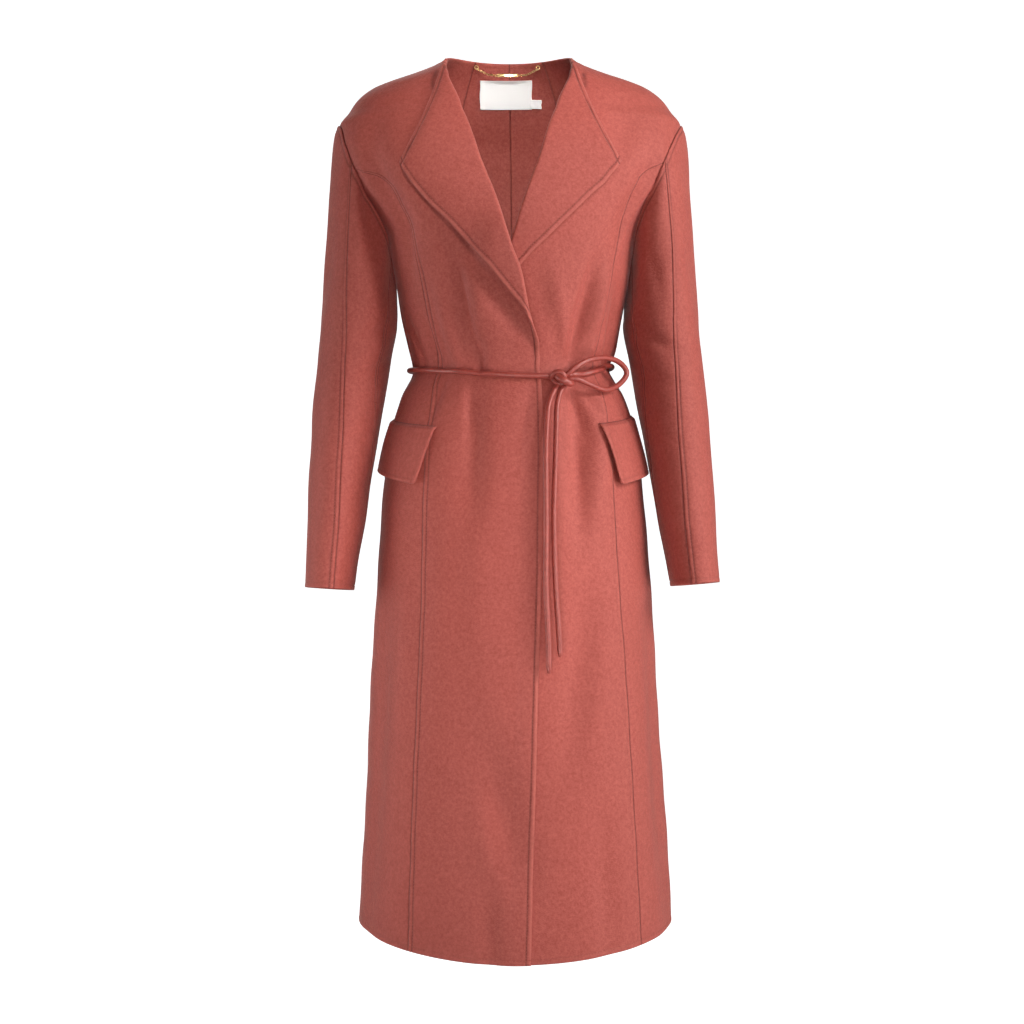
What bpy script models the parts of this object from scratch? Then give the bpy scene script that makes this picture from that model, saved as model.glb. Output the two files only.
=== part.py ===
"""Wool wrap coat, worn shape with nobody in it, in metres.

+Z up, the fronts face -Y and +X is the wearer's left. The origin is in the
middle of the neck, level with the points where the shoulder seams meet it:
that is where the wearer's shoulders carry the coat.

The torso is one smooth surface, given by rings at several heights. Each panel
is the strip of it between two seams, and a seam says, for each height, how
many degrees it lies round from the centre front. Both fronts are cut in one
with their lapels, which roll back along a line and lie over them.
"""

import bmesh
import bpy
import numpy as np

# Driving sizes
FRONT_DIP = 0.0215  # the hem is that much lower at the centre front
BACK_DIP = 0.006
BACK_NECK_RISE = 0.0125  # centre back neck above the neck points
WALL = 0.0022  # double-faced wool
SEAM = 0.0005  # between the edges of two panels
SLEEVE_SEAM = 0.0008  # the same at a sleeve's head
SLEEVE_LIFT = 0.0036  # a sleeve's head above its armhole, middle to middle
SLEEVE_LAP = 0.0030  # how far it laps over the armhole's edge
ROLL = 0.0034  # radius that a lapel rolls over with, and less at the neck
ROLL_AT_NECK = 0.0023
LAPEL_BOW = 0.0050  # a lapel's upper edge bows that far in
LAPEL_REST = 0.0044  # a lapel's edge above its front, middle to middle
CUFF = -0.7110  # height of the middle of a cuff
CUFF_TILT = 0.0032  # half the fall of the cuff from its front to its back
SHOULDER_TIP = -0.0905  # height of the end of the shoulder seam
FLAP_WALL = 0.0024
CORD = 0.0064  # diameter of the belt
BELT_CLEAR = 0.0014
LABEL_WALL = 0.0010
LABEL_CLEAR = 0.0009

WOOL = (0.42, 0.095, 0.068)
WOOL_DEEP = (0.34, 0.070, 0.052)
CORD_RED = (0.30, 0.060, 0.045)
IVORY = (0.80, 0.72, 0.60)
GOLD = (0.90, 0.66, 0.30)


def table(text):
    """Named columns of numbers, kept in rising order of the first."""
    names, *rows = [line.split() for line in text.strip().splitlines()]
    numbers = np.array(sorted([float(cell) for cell in row] for row in rows))
    return names, numbers


def follow(rows, column, at):
    """A smooth line through one column that never overshoots its rows."""
    names, numbers = rows
    x, y = numbers[:, 0], numbers[:, names.index(column)]
    gap = np.diff(x)
    rise = np.diff(y) / gap
    before, after = 2 * gap[1:] + gap[:-1], gap[1:] + 2 * gap[:-1]
    turning = rise[:-1] * rise[1:] <= 0
    some = np.where(rise == 0, 1e-12, rise)
    both = (before + after) / (before / some[:-1] + after / some[1:])
    slope = np.concatenate([rise[:1], np.where(turning, 0.0, both), rise[-1:]])
    at = np.clip(np.asarray(at, float), x[0], x[-1])
    i = np.clip(np.searchsorted(x, at, side="right") - 1, 0, len(x) - 2)
    t = (at - x[i]) / gap[i]
    return (
        y[i] * (1 + 2 * t) * (1 - t) ** 2
        + slope[i] * gap[i] * t * (1 - t) ** 2
        + y[i + 1] * t * t * (3 - 2 * t)
        + slope[i + 1] * gap[i] * t * t * (t - 1)
    )


def ease(t):
    t = np.clip(t, 0.0, 1.0)
    return t * t * (3 - 2 * t)


def mix(a, b, t):
    return a + (b - a) * t


# The torso: half its width, and how far it reaches forward and back
TORSO = table("""
z        half_width  front   back    square
-1.200   0.2110      0.1700  0.1700  0.02
-1.157   0.2092      0.1680  0.1680  0.02
-0.950   0.1975      0.1580  0.1600  0.02
-0.750   0.1860      0.1470  0.1510  0.02
-0.610   0.1765      0.1370  0.1430  0.03
-0.540   0.1690      0.1290  0.1350  0.03
-0.490   0.1600      0.1215  0.1250  0.03
-0.455   0.1490      0.1140  0.1150  0.02
-0.420   0.1330      0.1060  0.1020  0.01
-0.385   0.1400      0.1110  0.1040  0.02
-0.340   0.1490      0.1200  0.1090  0.04
-0.290   0.1570      0.1280  0.1140  0.05
-0.240   0.1665      0.1310  0.1190  0.06
-0.209   0.1830      0.1280  0.1200  0.07
-0.178   0.2060      0.1230  0.1195  0.08
-0.146   0.2230      0.1165  0.1170  0.08
-0.118   0.2285      0.1090  0.1120  0.07
-0.0905  0.2288      0.0990  0.1050  0.05
-0.074   0.2172      0.0930  0.0990  0.03
-0.058   0.2060      0.0870  0.0935  0.02
-0.042   0.1860      0.0810  0.0875  0.00
-0.0337  0.1655      0.0780  0.0845  0.00
-0.0256  0.1400      0.0750  0.0815  0.00
-0.0175  0.1170      0.0715  0.0780  0.00
-0.0095  0.0980      0.0680  0.0750  0.00
-0.001   0.0866      0.0640  0.0725  0.00
0.020    0.0790      0.0600  0.0700  0.00
""")
LEAN = table("""
z       x
-1.200  0.0068
-0.900  0.0045
-0.420  0.0020
-0.090  -0.0007
0.020   -0.0034
""")

# Soft folds: a line from one place to another, its half width and how far it
# stands out (+) or sinks in (-), in metres
FOLDS = table("""
turn_1  z_1     turn_2  z_2     width   out
-26.0   -0.300  -16.0   -0.490  0.0120  -0.0045
-34.0   -0.330  -30.0   -0.425  0.0130  0.0030
-46.0   -0.100  -52.0   -0.290  0.0150  -0.0050
40.0    -0.290  32.0    -0.420  0.0130  -0.0050
31.0    -0.455  29.0    -0.620  0.0130  -0.0045
46.0    -0.450  39.0    -0.600  0.0140  0.0030
39.0    -0.085  36.0    -0.150  0.0180  -0.0035
60.0    -0.330  66.0    -0.420  0.0120  -0.0030
-11.0   -0.780  -10.0   -1.150  0.0200  -0.0050
29.0    -0.720  27.0    -1.150  0.0220  -0.0045
-62.0   -0.700  -66.0   -1.150  0.0220  -0.0045
70.0    -0.740  72.0    -1.150  0.0220  -0.0040
118.0   -0.330  128.0   -0.430  0.0130  -0.0040
-122.0  -0.310  -130.0  -0.430  0.0130  -0.0045
158.0   -0.450  156.0   -0.640  0.0140  -0.0040
-160.0  -0.455  -157.0  -0.600  0.0140  -0.0040
112.0   -0.640  116.0   -1.150  0.0220  -0.0045
-118.0  -0.700  -114.0  -1.150  0.0220  -0.0045
163.0   -0.780  165.0   -1.150  0.0220  -0.0045
-158.0  -0.740  -162.0  -1.150  0.0220  -0.0045
""")
FOLD_RADIUS = 0.150  # turns degrees into lengths where folds are measured


def ring(turn, z):
    """A place on the torso without its folds."""
    z = np.clip(z, -1.2, 0.02)
    angle = np.radians(turn)
    s, c = np.sin(angle), np.cos(angle)
    square = 1 + follow(TORSO, "square", z) * np.sin(2 * angle) ** 2
    depth = np.where(c >= 0, follow(TORSO, "front", z), follow(TORSO, "back", z))
    x = follow(LEAN, "x", z) + follow(TORSO, "half_width", z) * s * square
    dip = mix(BACK_DIP, FRONT_DIP, c > 0) * c**2 * ease((-0.85 - z) / 0.307)
    behind = 1 - (1 - np.clip(-c / 0.7, 0, 1)) ** 2.5
    rise = BACK_NECK_RISE * behind * ease((z + 0.075) / 0.073)
    return np.stack([x, -depth * c * square, z - dip + rise], axis=-1)


def out_of(place, turn, z):
    """The direction out of the surface that place(turn, z) gives."""
    round_it = place(turn + 0.5, z) - place(turn - 0.5, z)
    up_it = place(turn, z + 0.001) - place(turn, z - 0.001)
    normal = np.cross(round_it, up_it)
    return normal / np.linalg.norm(normal, axis=-1, keepdims=True)


def fold_push(turn, z):
    metres = np.radians(1.0) * FOLD_RADIUS
    push = np.zeros(np.broadcast(turn, z).shape)
    around = np.where(turn > 180, turn - 360, turn)
    for turn_1, z_1, turn_2, z_2, width, out in FOLDS[1]:
        run = np.array([(turn_2 - turn_1) * metres, z_2 - z_1])
        at = np.stack([(around - turn_1) * metres, z - z_1], axis=-1)
        along = np.clip(at @ run / (run @ run), 0, 1)
        away = np.linalg.norm(at - along[..., None] * run, axis=-1)
        push += out * np.exp(-((away / width) ** 2)) * np.sin(np.pi * mix(0.12, 0.88, along))
    return push


def folded(turn, z):
    turn, z = np.broadcast_arrays(np.asarray(turn, float), np.asarray(z, float))
    return ring(turn, z) + out_of(ring, turn, z) * fold_push(turn, z)[..., None]


def cloth(turn, z, lift=0.0):
    """A place on the torso, so far out from it."""
    turn, z, lift = np.broadcast_arrays(*[np.asarray(v, float) for v in (turn, z, lift)])
    return folded(turn, z) + out_of(ring, turn, z) * lift[..., None]


# Seams, in degrees from the centre front, to the wearer's right and left
FRONT_ARMHOLE = table("""
z        right  left
-0.0905  90.0   90.0
-0.0980  77.0   78.0
-0.1155  70.0   66.0
-0.1350  65.0   60.0
-0.1570  63.5   57.5
-0.1880  68.5   61.0
-0.2200  75.5   69.0
-0.2500  82.0   79.0
-0.2750  86.5   85.5
-0.3000  90.0   90.0
""")
BACK_ARMHOLE = table("""
z        turn
-0.0905  90.0
-0.0980  101.0
-0.1155  110.0
-0.1350  116.0
-0.1570  119.0
-0.1880  119.0
-0.2200  115.0
-0.2500  106.0
-0.2750  98.0
-0.3000  90.0
""")
NOTCH = {-1: -0.1570, 1: -0.1480}  # where armhole and princess seam meet
FRONT_PRINCESS = table("""
z        right  left
-0.1480  66.0   58.0
-0.1570  63.5   53.5
-0.1640  56.5   50.5
-0.1740  51.0   48.5
-0.1880  48.0   49.0
-0.2140  50.5   52.0
-0.2500  50.0   54.5
-0.3000  47.0   52.5
-0.3450  46.0   51.0
-0.4260  46.5   50.5
-0.4600  43.0   48.5
-0.5000  41.2   46.8
-0.6000  40.0   46.0
-0.8800  40.0   48.3
-1.1570  40.2   49.2
""")
BACK_PRINCESS = table("""
z        x
-0.0020  0.0465
-0.0300  0.0585
-0.0550  0.0675
-0.0900  0.0765
-0.1400  0.0835
-0.2000  0.0850
-0.3000  0.0790
-0.4150  0.0700
-0.6000  0.0950
-1.1570  0.1220
""")  # how far it lies from the centre back

# Heights of the rows that the panels have
HEIGHTS = [
    -0.0020, -0.0080, -0.0150, -0.0240, -0.0340, -0.0460, -0.0600, -0.0750,
    -0.0905, -0.1040, -0.1200, -0.1380, -0.1570, -0.1640, -0.1740, -0.1880,
    -0.2090, -0.2340, -0.2560, -0.2780, -0.3000, -0.3160, -0.3290, -0.3410,
    -0.3520, -0.3640, -0.3780, -0.3920, -0.4050, -0.4210, -0.4390, -0.4640,
    -0.5050, -0.5650, -0.6600, -0.7900, -0.9300, -1.0600, -1.1570,
]

# A front's roll line and the edge beyond it, in degrees from the centre front
# out to the front's own side: where each height's cloth leaves the roll line,
# where its edge comes to lie, and how far it has turned over
LAPEL_RIGHT = table("""
z        roll   edge   edge_z   swing
-0.0020  72.0   37.6   -0.1545  180
-0.0080  59.0   37.5   -0.1560  180
-0.0150  48.0   37.4   -0.1580  180
-0.0380  26.6   37.1   -0.1650  180
-0.0735  17.5   36.3   -0.1760  180
-0.1170  12.6   35.0   -0.1920  180
-0.1570  9.8    32.5   -0.2130  180
-0.1980  6.5    27.6   -0.2340  180
-0.2363  3.2    19.6   -0.2640  180
-0.2712  -0.5   10.0   -0.2940  180
-0.2983  -4.2   4.0    -0.3150  180
-0.3290  -7.2   -3.0   -0.3360  178
-0.3410  -8.3   -6.0   -0.3450  165
-0.3520  -9.4   -7.4   -0.3560  140
-0.3630  -10.6  -8.6   -0.3670  105
-0.3760  -11.8  -9.8   -0.3800  62
-0.3900  -12.6  -10.6  -0.3940  26
-0.4050  -12.9  -10.9  -0.4090  0
""")
LAPEL_LEFT = table("""
z        roll   edge   edge_z   swing
-0.0020  71.0   37.2   -0.1530  180
-0.0080  58.0   37.0   -0.1550  180
-0.0150  47.0   36.8   -0.1575  180
-0.0380  25.9   36.2   -0.1640  180
-0.0735  16.5   35.0   -0.1720  180
-0.1170  11.6   33.4   -0.1860  180
-0.1570  9.0    30.8   -0.1990  180
-0.1980  5.7    26.0   -0.2230  180
-0.2363  2.2    15.0   -0.2600  180
-0.2530  0.6    10.0   -0.2740  180
-0.2712  -2.0   5.0    -0.2900  180
-0.2983  -5.2   -1.0   -0.3080  180
-0.3290  -8.2   -5.2   -0.3360  165
-0.3410  -9.2   -7.2   -0.3450  130
-0.3520  -10.2  -8.2   -0.3560  110
-0.3630  -11.2  -9.2   -0.3670  75
-0.3760  -12.0  -10.0  -0.3800  40
-0.3900  -12.6  -10.6  -0.3940  16
-0.4050  -12.9  -10.9  -0.4090  0
""")
FRONT_EDGE = table("""
z        turn
-0.4050  -16.1
-0.4300  -15.7
-0.4650  -14.2
-0.5940  -12.0
-0.6930  -11.0
-0.7710  -9.9
-0.8340  -9.0
-0.9350  -7.8
-1.0470  -6.2
-1.1570  -5.0
""")
# Cloth beyond the roll line where it hasn't turned over completely
STRIP = table("""
z        right   left
-0.4050  0.0080  0.0080
-0.3760  0.0085  0.0062
-0.3520  0.0110  0.0065
-0.3410  0.0150  0.0072
-0.3290  0.0180  0.0140
""")
# The right front comes over the left one and its lapel
OVERLAP = table("""
z        lift    from   width
-1.1570  0.0040  8.0    10.0
-0.5500  0.0040  15.0   12.0
-0.4500  0.0042  19.0   13.0
-0.4050  0.0062  19.0   14.0
-0.3800  0.0092  18.0   15.0
-0.3500  0.0116  16.5   15.0
-0.2980  0.0116  11.5   15.0
-0.2600  0.0108  6.5    14.0
-0.2400  0.0070  5.0    13.0
-0.2150  0.0000  4.0    13.0
""")


def layer(side, turn, z):
    """How far a front lies out, over what it crosses."""
    if side > 0:
        return np.zeros(np.broadcast(turn, z).shape)
    reach = turn + follow(OVERLAP, "from", z) + follow(OVERLAP, "width", z)
    return follow(OVERLAP, "lift", z) * ease(reach / follow(OVERLAP, "width", z))


def front_outer(side, z):
    """Own turn of the shoulder seam, the armhole or the princess seam."""
    column = "left" if side > 0 else "right"
    seam = np.where(
        z < NOTCH[side],
        follow(FRONT_PRINCESS, column, z),
        follow(FRONT_ARMHOLE, column, z),
    )
    return np.where(z >= SHOULDER_TIP, 90.0, seam)


def metres_a_degree(turn, z):
    return np.linalg.norm(ring(turn + 0.5, z) - ring(turn - 0.5, z), axis=-1)


def turn_at(x, z, behind=False):
    """The turn of the place on the torso that lies so far across."""
    turn = np.zeros(np.broadcast(x, z).shape)
    for _ in range(6):
        square = 1 + follow(TORSO, "square", z) * np.sin(np.radians(2 * turn)) ** 2
        across = (x - follow(LEAN, "x", z)) / (follow(TORSO, "half_width", z) * square)
        turn = np.degrees(np.arcsin(np.clip(across, -0.999, 0.999)))
    return 180.0 - turn if behind else turn


def back_princess(z):
    x = follow(LEAN, "x", z) + follow(BACK_PRINCESS, "x", z)
    return turn_at(x, z, behind=True)


def beyond_roll(side, z, along):
    """The lapel: along runs 0 to 1 from the roll line to the cloth's edge.
    The cloth first follows an arc about the roll line, then goes straight."""
    rows = LAPEL_LEFT if side > 0 else LAPEL_RIGHT
    folding = z >= -0.4050
    edge = np.where(folding, follow(rows, "edge", z), follow(FRONT_EDGE, "turn", z))
    edge_z = np.where(folding, follow(rows, "edge_z", z), z)
    scale = metres_a_degree(0.0, z)
    radius = mix(ROLL_AT_NECK, ROLL, ease(-z / 0.06))
    roll = np.where(
        folding,
        follow(rows, "roll", z) + (radius + WALL / 2) / scale,
        edge + STRIP[1][0, 1] / scale,
    )
    swing = np.radians(np.where(folding, follow(rows, "swing", z), 0.0))
    start, end = ring(roll * side, z), ring(edge * side, edge_z)
    straight = np.linalg.norm(end - start, axis=-1)
    width = np.where(
        z > -0.3291, np.pi * radius + straight, follow(STRIP, "left" if side > 0 else "right", z)
    )
    bend = np.minimum(swing, width / radius)
    arc = radius * bend
    before = along / ARC_SHARE * arc
    after = arc + (along - ARC_SHARE) / (1 - ARC_SHARE) * (width - arc)
    along = np.where(swing > 0.01, np.where(along < ARC_SHARE, before, after), along * width)
    turned = np.minimum(along, arc) / radius
    rest = np.maximum(along - arc, 0.0)
    forward = radius * np.sin(turned) + rest * np.cos(bend)
    lift = radius * (1 - np.cos(turned)) + rest * np.sin(bend)
    back = np.maximum(-forward, 0.0) / np.maximum(straight, 1e-6)
    lift = mix(lift, LAPEL_REST, (swing >= np.pi - 0.001) * ease(back))
    height = mix(z, edge_z, back)
    bow = LAPEL_BOW * np.sin(np.pi * np.clip(back, 0, 1)) * ease(1 + z / 0.07)
    turned_back = turn_at(mix(start[..., 0], end[..., 0], back) - side * bow, height)
    turn = np.where(back > 0, turned_back, (roll - np.maximum(forward, 0.0) / scale) * side)
    return turn, height, lift, roll


def own_rows(side):
    """The heights with this side's notch among them."""
    rows = np.array(HEIGHTS)
    rows[np.argmin(abs(rows - NOTCH[side]))] = NOTCH[side]
    return rows


BODY_COLUMNS, LAPEL_COLUMNS = 8, 9
FRONT_TOP = (-0.0075, -0.0112)  # its first rows: the roll stands above them
ARC_SHARE = 0.5  # that share of a lapel's points go round its roll


def front(side):
    """A front and its lapel, from the outer seam to the front edge."""
    rows = own_rows(side)
    rows[:2] = FRONT_TOP
    z = rows[:, None]
    across = np.linspace(0, 1, BODY_COLUMNS)[None, :]
    *_, roll = beyond_roll(side, z, np.zeros((1, 1)))
    outer = front_outer(side, z) - SEAM / 2 / metres_a_degree(front_outer(side, z) * side, z)
    body_turn = mix(outer, roll, across) * side
    body = cloth(body_turn, z + 0 * across, layer(side, body_turn, z))
    beyond = np.linspace(0, 1, LAPEL_COLUMNS)[None, 1:]
    turn, height, lift, _ = beyond_roll(side, z, beyond)
    lapel = cloth(turn, height, layer(side, turn, height) + lift)
    return np.concatenate([body, lapel], axis=1)


def strip(near, far, rows, columns):
    """The part of the torso between two seams, near and far from the centre
    front, which are given as turns for each row."""
    z = np.asarray(rows)[:, None]
    near, far = near(z), far(z)
    near = near + SEAM / 2 / metres_a_degree(near, z) * np.sign(far - near)
    far = far - SEAM / 2 / metres_a_degree(far, z) * np.sign(far - near)
    across = np.linspace(0, 1, columns)[None, :]
    return cloth(mix(near, far, across), z + 0 * across)


def side_front(side):
    column = "left" if side > 0 else "right"
    top = NOTCH[side] - 0.0030
    rows = [top] + [z for z in HEIGHTS if z < top - 0.004]
    return strip(
        lambda z: side * follow(FRONT_PRINCESS, column, z),
        lambda z: side * follow(FRONT_ARMHOLE, column, z),
        rows, 6,
    )


def side_back(side):
    return strip(
        lambda z: side * np.where(z > SHOULDER_TIP, 90.0, follow(BACK_ARMHOLE, "turn", z)),
        lambda z: side * back_princess(z),
        HEIGHTS, 6,
    )


def centre_back(side):
    return strip(
        lambda z: side * back_princess(z),
        lambda z: side * (180.0 + 0 * z),
        HEIGHTS, 4,
    )


# The sleeves, about their own middle line
SLEEVE = table("""
z        x       half_width  y        half_depth
-0.0900  0.1950  0.0320      0.0010   0.0480
-0.1068  0.1960  0.0370      0.0010   0.0530
-0.1608  0.1990  0.0413      0.0030   0.0640
-0.2148  0.2005  0.0442      0.0060   0.0730
-0.2688  0.2022  0.0468      0.0090   0.0780
-0.3228  0.2036  0.0495      0.0100   0.0800
-0.3498  0.2042  0.0510      0.0090   0.0790
-0.4038  0.2110  0.0489      0.0060   0.0755
-0.4578  0.2177  0.0470      0.0000   0.0720
-0.5118  0.2233  0.0433      -0.0080  0.0675
-0.5658  0.2291  0.0405      -0.0185  0.0615
-0.6198  0.2338  0.0375      -0.0250  0.0580
-0.6738  0.2396  0.0332      -0.0310  0.0545
-0.7230  0.2446  0.0308      -0.0365  0.0525
""")
SLEEVE_LEAN = table("""
z        x
-0.7230  0.0022
-0.3500  -0.0017
-0.0900  -0.0017
""")
# Round the sleeve: 0 at its front, 90 outside, 180 behind and -90 inside. The
# height at which each stretch of it leaves the armhole:
SLEEVE_HEAD = table("""
round   z
-90.0   -0.3000
-75.0   -0.2780
-60.0   -0.2500
-40.0   -0.2160
-20.0   -0.1850
0.0     -0.1600
14.0    -0.1480
35.0    -0.1240
60.0    -0.1020
90.0    -0.0905
""")
# Where the sleeve's two seams run
SLEEVE_SEAMS = table("""
z        front  inner
-0.7110  -18.0  -92.0
-0.6400  -14.0  -84.0
-0.5700  -9.0   -76.0
-0.4900  -3.0   -62.0
-0.4100  5.0    -50.0
-0.3300  12.0   -56.0
-0.2500  13.0   -70.0
-0.1570  13.0   -86.0
""")
SLEEVE_FOLDS = table("""
round_1  z_1     round_2  z_2     width   out
-60.0    -0.360  10.0     -0.400  0.0110  -0.0040
-70.0    -0.430  0.0      -0.440  0.0110  -0.0035
40.0     -0.200  60.0     -0.330  0.0160  -0.0035
120.0    -0.240  140.0    -0.400  0.0160  -0.0040
200.0    -0.300  225.0    -0.420  0.0140  -0.0040
230.0    -0.460  170.0    -0.500  0.0130  -0.0035
""")
HEAD_FADE = 0.110  # below the armhole the sleeve has its own section
SLEEVE_ROWS = 17


def sleeve_round(side, angle, z):
    """A place on the sleeve's own tube."""
    a = np.radians(angle)
    middle = side * follow(SLEEVE, "x", z) + follow(SLEEVE_LEAN, "x", z)
    x = middle + side * follow(SLEEVE, "half_width", z) * np.sin(a)
    y = follow(SLEEVE, "y", z) - follow(SLEEVE, "half_depth", z) * np.cos(a)
    push = np.zeros(np.broadcast(angle, z).shape)
    for round_1, z_1, round_2, z_2, width, out in SLEEVE_FOLDS[1]:
        run = np.array([np.radians(round_2 - round_1) * 0.055, z_2 - z_1])
        at = np.stack(np.broadcast_arrays(np.radians(angle - round_1) * 0.055, z - z_1), axis=-1)
        along = np.clip(at @ run / (run @ run), 0, 1)
        away = np.linalg.norm(at - along[..., None] * run, axis=-1)
        push = push + out * np.exp(-((away / width) ** 2)) * np.sin(np.pi * mix(0.1, 0.9, along))
    x = x + side * push * np.sin(a)
    y = y - push * np.cos(a)
    return np.stack(np.broadcast_arrays(x, y, z), axis=-1)


def armhole(side, angle):
    """The armhole's edge on the torso, for a place round the sleeve."""
    behind = np.abs(np.where(angle > 180, angle - 360, angle)) > 90
    angle = np.where(angle > 180, angle - 360, angle)
    mirrored = np.where(angle > 90, 180 - angle, np.where(angle < -90, -180 - angle, angle))
    z = follow(SLEEVE_HEAD, "z", mirrored)
    column = "left" if side > 0 else "right"
    turn = np.where(behind, follow(BACK_ARMHOLE, "turn", z), follow(FRONT_ARMHOLE, column, z))
    return side * turn, z


def armhole_edge(side, turn, z):
    """Places along the panels' own straight stretches between their rows."""
    rows = own_rows(side)[::-1]
    column = "left" if side > 0 else "right"
    ahead = cloth(side * follow(FRONT_ARMHOLE, column, rows), rows)
    behind = cloth(side * follow(BACK_ARMHOLE, "turn", rows), rows)
    at_front = np.stack([np.interp(z, rows, ahead[:, i]) for i in range(3)], axis=-1)
    at_back = np.stack([np.interp(z, rows, behind[:, i]) for i in range(3)], axis=-1)
    return np.where((abs(turn) > 90)[..., None], at_back, at_front)


def sleeve(side, seam_1, seam_2, columns):
    """The piece of a sleeve from one seam round to the other. Its head laps
    over the edge of the armhole."""
    down = np.linspace(0, 1, SLEEVE_ROWS)[:, None] ** 1.15
    share = np.linspace(0, 1, columns)[None, :]
    z = mix(-0.20, CUFF, down)
    for _ in range(8):  # seams follow the height, which depends on the seam
        angle = mix(seam_1(z), seam_2(z), share)
        gap = np.degrees(mix(SLEEVE_SEAM, SEAM, ease(down / 0.35)) / 0.05)
        angle = angle + gap * (1 - 2 * share) * np.sign(seam_2(z) - seam_1(z))
        turn, head = armhole(side, angle[:1])
        cuff = CUFF + CUFF_TILT * np.cos(np.radians(angle[-1:]))
        z = mix(head, cuff, down)
    edge = armhole_edge(side, turn, head)
    ahead, behind = (armhole_edge(side, *armhole(side, angle[:1] + a)) for a in (-3.0, 3.0))
    out = out_of(ring, turn, head)
    over = np.cross(out, behind - ahead) * side
    over = over / np.linalg.norm(over, axis=-1, keepdims=True)
    edge = edge + out * SLEEVE_LIFT + over * SLEEVE_LAP
    tube = sleeve_round(side, angle, z)
    own_head = sleeve_round(side, angle[:1], head)
    fade = 1 - ease((head - z) / HEAD_FADE)
    return tube + (edge - own_head) * fade[..., None]


def front_seam(z):
    return follow(SLEEVE_SEAMS, "front", z)


def inner_seam(z):
    return follow(SLEEVE_SEAMS, "inner", z)


# Pocket flaps: corners by turn and height, and how far each stands off
FLAPS = {
    -1: [(-86.0, -0.4850, 0.0033), (-36.0, -0.4990, 0.0032), (-43.2, -0.5745, 0.0052), (-82.0, -0.5560, 0.0110)],
    1: [(84.0, -0.4800, 0.0033), (40.6, -0.4960, 0.0033), (49.0, -0.5745, 0.0060), (78.0, -0.5600, 0.0095)],
}


def flap(side):
    """Upper outer, upper inner, lower inner and lower outer corner."""
    a, b, c, d = np.array(FLAPS[side])
    u = np.linspace(0, 1, 6)[None, :, None]
    v = np.linspace(0, 1, 5)[:, None, None]
    turn, z, lift = np.moveaxis(mix(mix(a, b, u), mix(d, c, u), v), -1, 0)
    return cloth(turn, z, lift)


def smooth_path(points, count):
    """A Catmull-Rom line through points, evenly spaced along itself."""
    p = np.array(points, float)
    p = np.vstack([2 * p[0] - p[1], p, 2 * p[-1] - p[-2]])
    t = np.linspace(0, 1, 24, endpoint=False)[:, None]
    fine = [
        0.5 * (2 * b + (c - a) * t + (2 * a - 5 * b + 4 * c - d) * t**2 + (3 * b - a - 3 * c + d) * t**3)
        for a, b, c, d in zip(p, p[1:], p[2:], p[3:])
    ]
    fine = np.vstack(fine + [p[-2:-1]])
    length = np.concatenate([[0], np.cumsum(np.linalg.norm(np.diff(fine, axis=0), axis=1))])
    at = np.linspace(0, length[-1], count)
    return np.stack([np.interp(at, length, fine[:, i]) for i in range(3)], axis=1)


BELT = table("""
turn   z
-180   -0.4150
-90    -0.4180
-44    -0.4260
-18    -0.4320
4      -0.4363
20     -0.4372
30     -0.4350
40     -0.4318
72     -0.4190
90     -0.4175
180    -0.4150
""")
KNOT_TURN = 28.0
KNOT_AT = (0.0665, -0.1135, -0.4362)
KNOT_SIZE = (0.0128, 0.0080, 0.0098)  # half of each


def belt_points():
    """Round the waist from one side of the knot to the other."""
    turn = np.linspace(KNOT_TURN + 6.4, KNOT_TURN + 360 - 7.3, 62)
    own = np.where(turn > 180, turn - 360, turn)
    z = follow(BELT, "z", own)
    out = WALL / 2 + BELT_CLEAR + CORD / 2 + layer(-1, np.where(own < 17.5, own, -90), z) * (own < 17.5)
    to_knot = 0.0045 * np.exp(-(((own - 16) / 9.0) ** 2)) + 0.0090 * np.exp(-(((own - 33) / 4.5) ** 2))
    return cloth(own, z, out + to_knot * (own >= 17.5))


collection = bpy.data.collections.new("Wool wrap coat")


def clear_scene():
    for thing in list(bpy.data.objects):
        bpy.data.objects.remove(thing, do_unlink=True)
    bpy.context.scene.collection.children.link(collection)


def material(name, colour, roughness, metallic=0.0):
    made = bpy.data.materials.new(name)
    made.use_nodes = True
    shader = made.node_tree.nodes["Principled BSDF"]
    shader.inputs["Base Color"].default_value = (*colour, 1)
    shader.inputs["Roughness"].default_value = roughness
    shader.inputs["Metallic"].default_value = metallic
    return made


def add(name, data, finish):
    thing = bpy.data.objects.new(name, data)
    data.materials.append(finish)
    collection.objects.link(thing)
    return thing


def panel(name, points, thickness, finish):
    """Cloth through a grid of points, rows by columns, as a shell."""
    rows, columns, _ = points.shape
    grid = bmesh.new()
    bmesh.ops.create_grid(grid, x_segments=columns - 1, y_segments=rows - 1, size=0.5)
    for vert in grid.verts:
        row = round((vert.co.y + 0.5) * (rows - 1))
        column = round((vert.co.x + 0.5) * (columns - 1))
        vert.co = points[row, column]
    mesh = bpy.data.meshes.new(name)
    grid.to_mesh(mesh)
    grid.free()
    mesh.shade_smooth()
    thing = add(name, mesh, finish)
    shell = thing.modifiers.new("wall", "SOLIDIFY")
    shell.thickness = thickness
    shell.offset = 0.0
    return thing


def cord(name, points, diameter, finish):
    curve = bpy.data.curves.new(name, "CURVE")
    curve.dimensions = "3D"
    curve.bevel_depth = diameter / 2
    curve.bevel_resolution = 2
    curve.use_fill_caps = True
    line = curve.splines.new("POLY")
    line.points.add(len(points) - 1)
    for point, place in zip(line.points, points):
        point.co = (*place, 1)
    return add(name, curve, finish)


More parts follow.
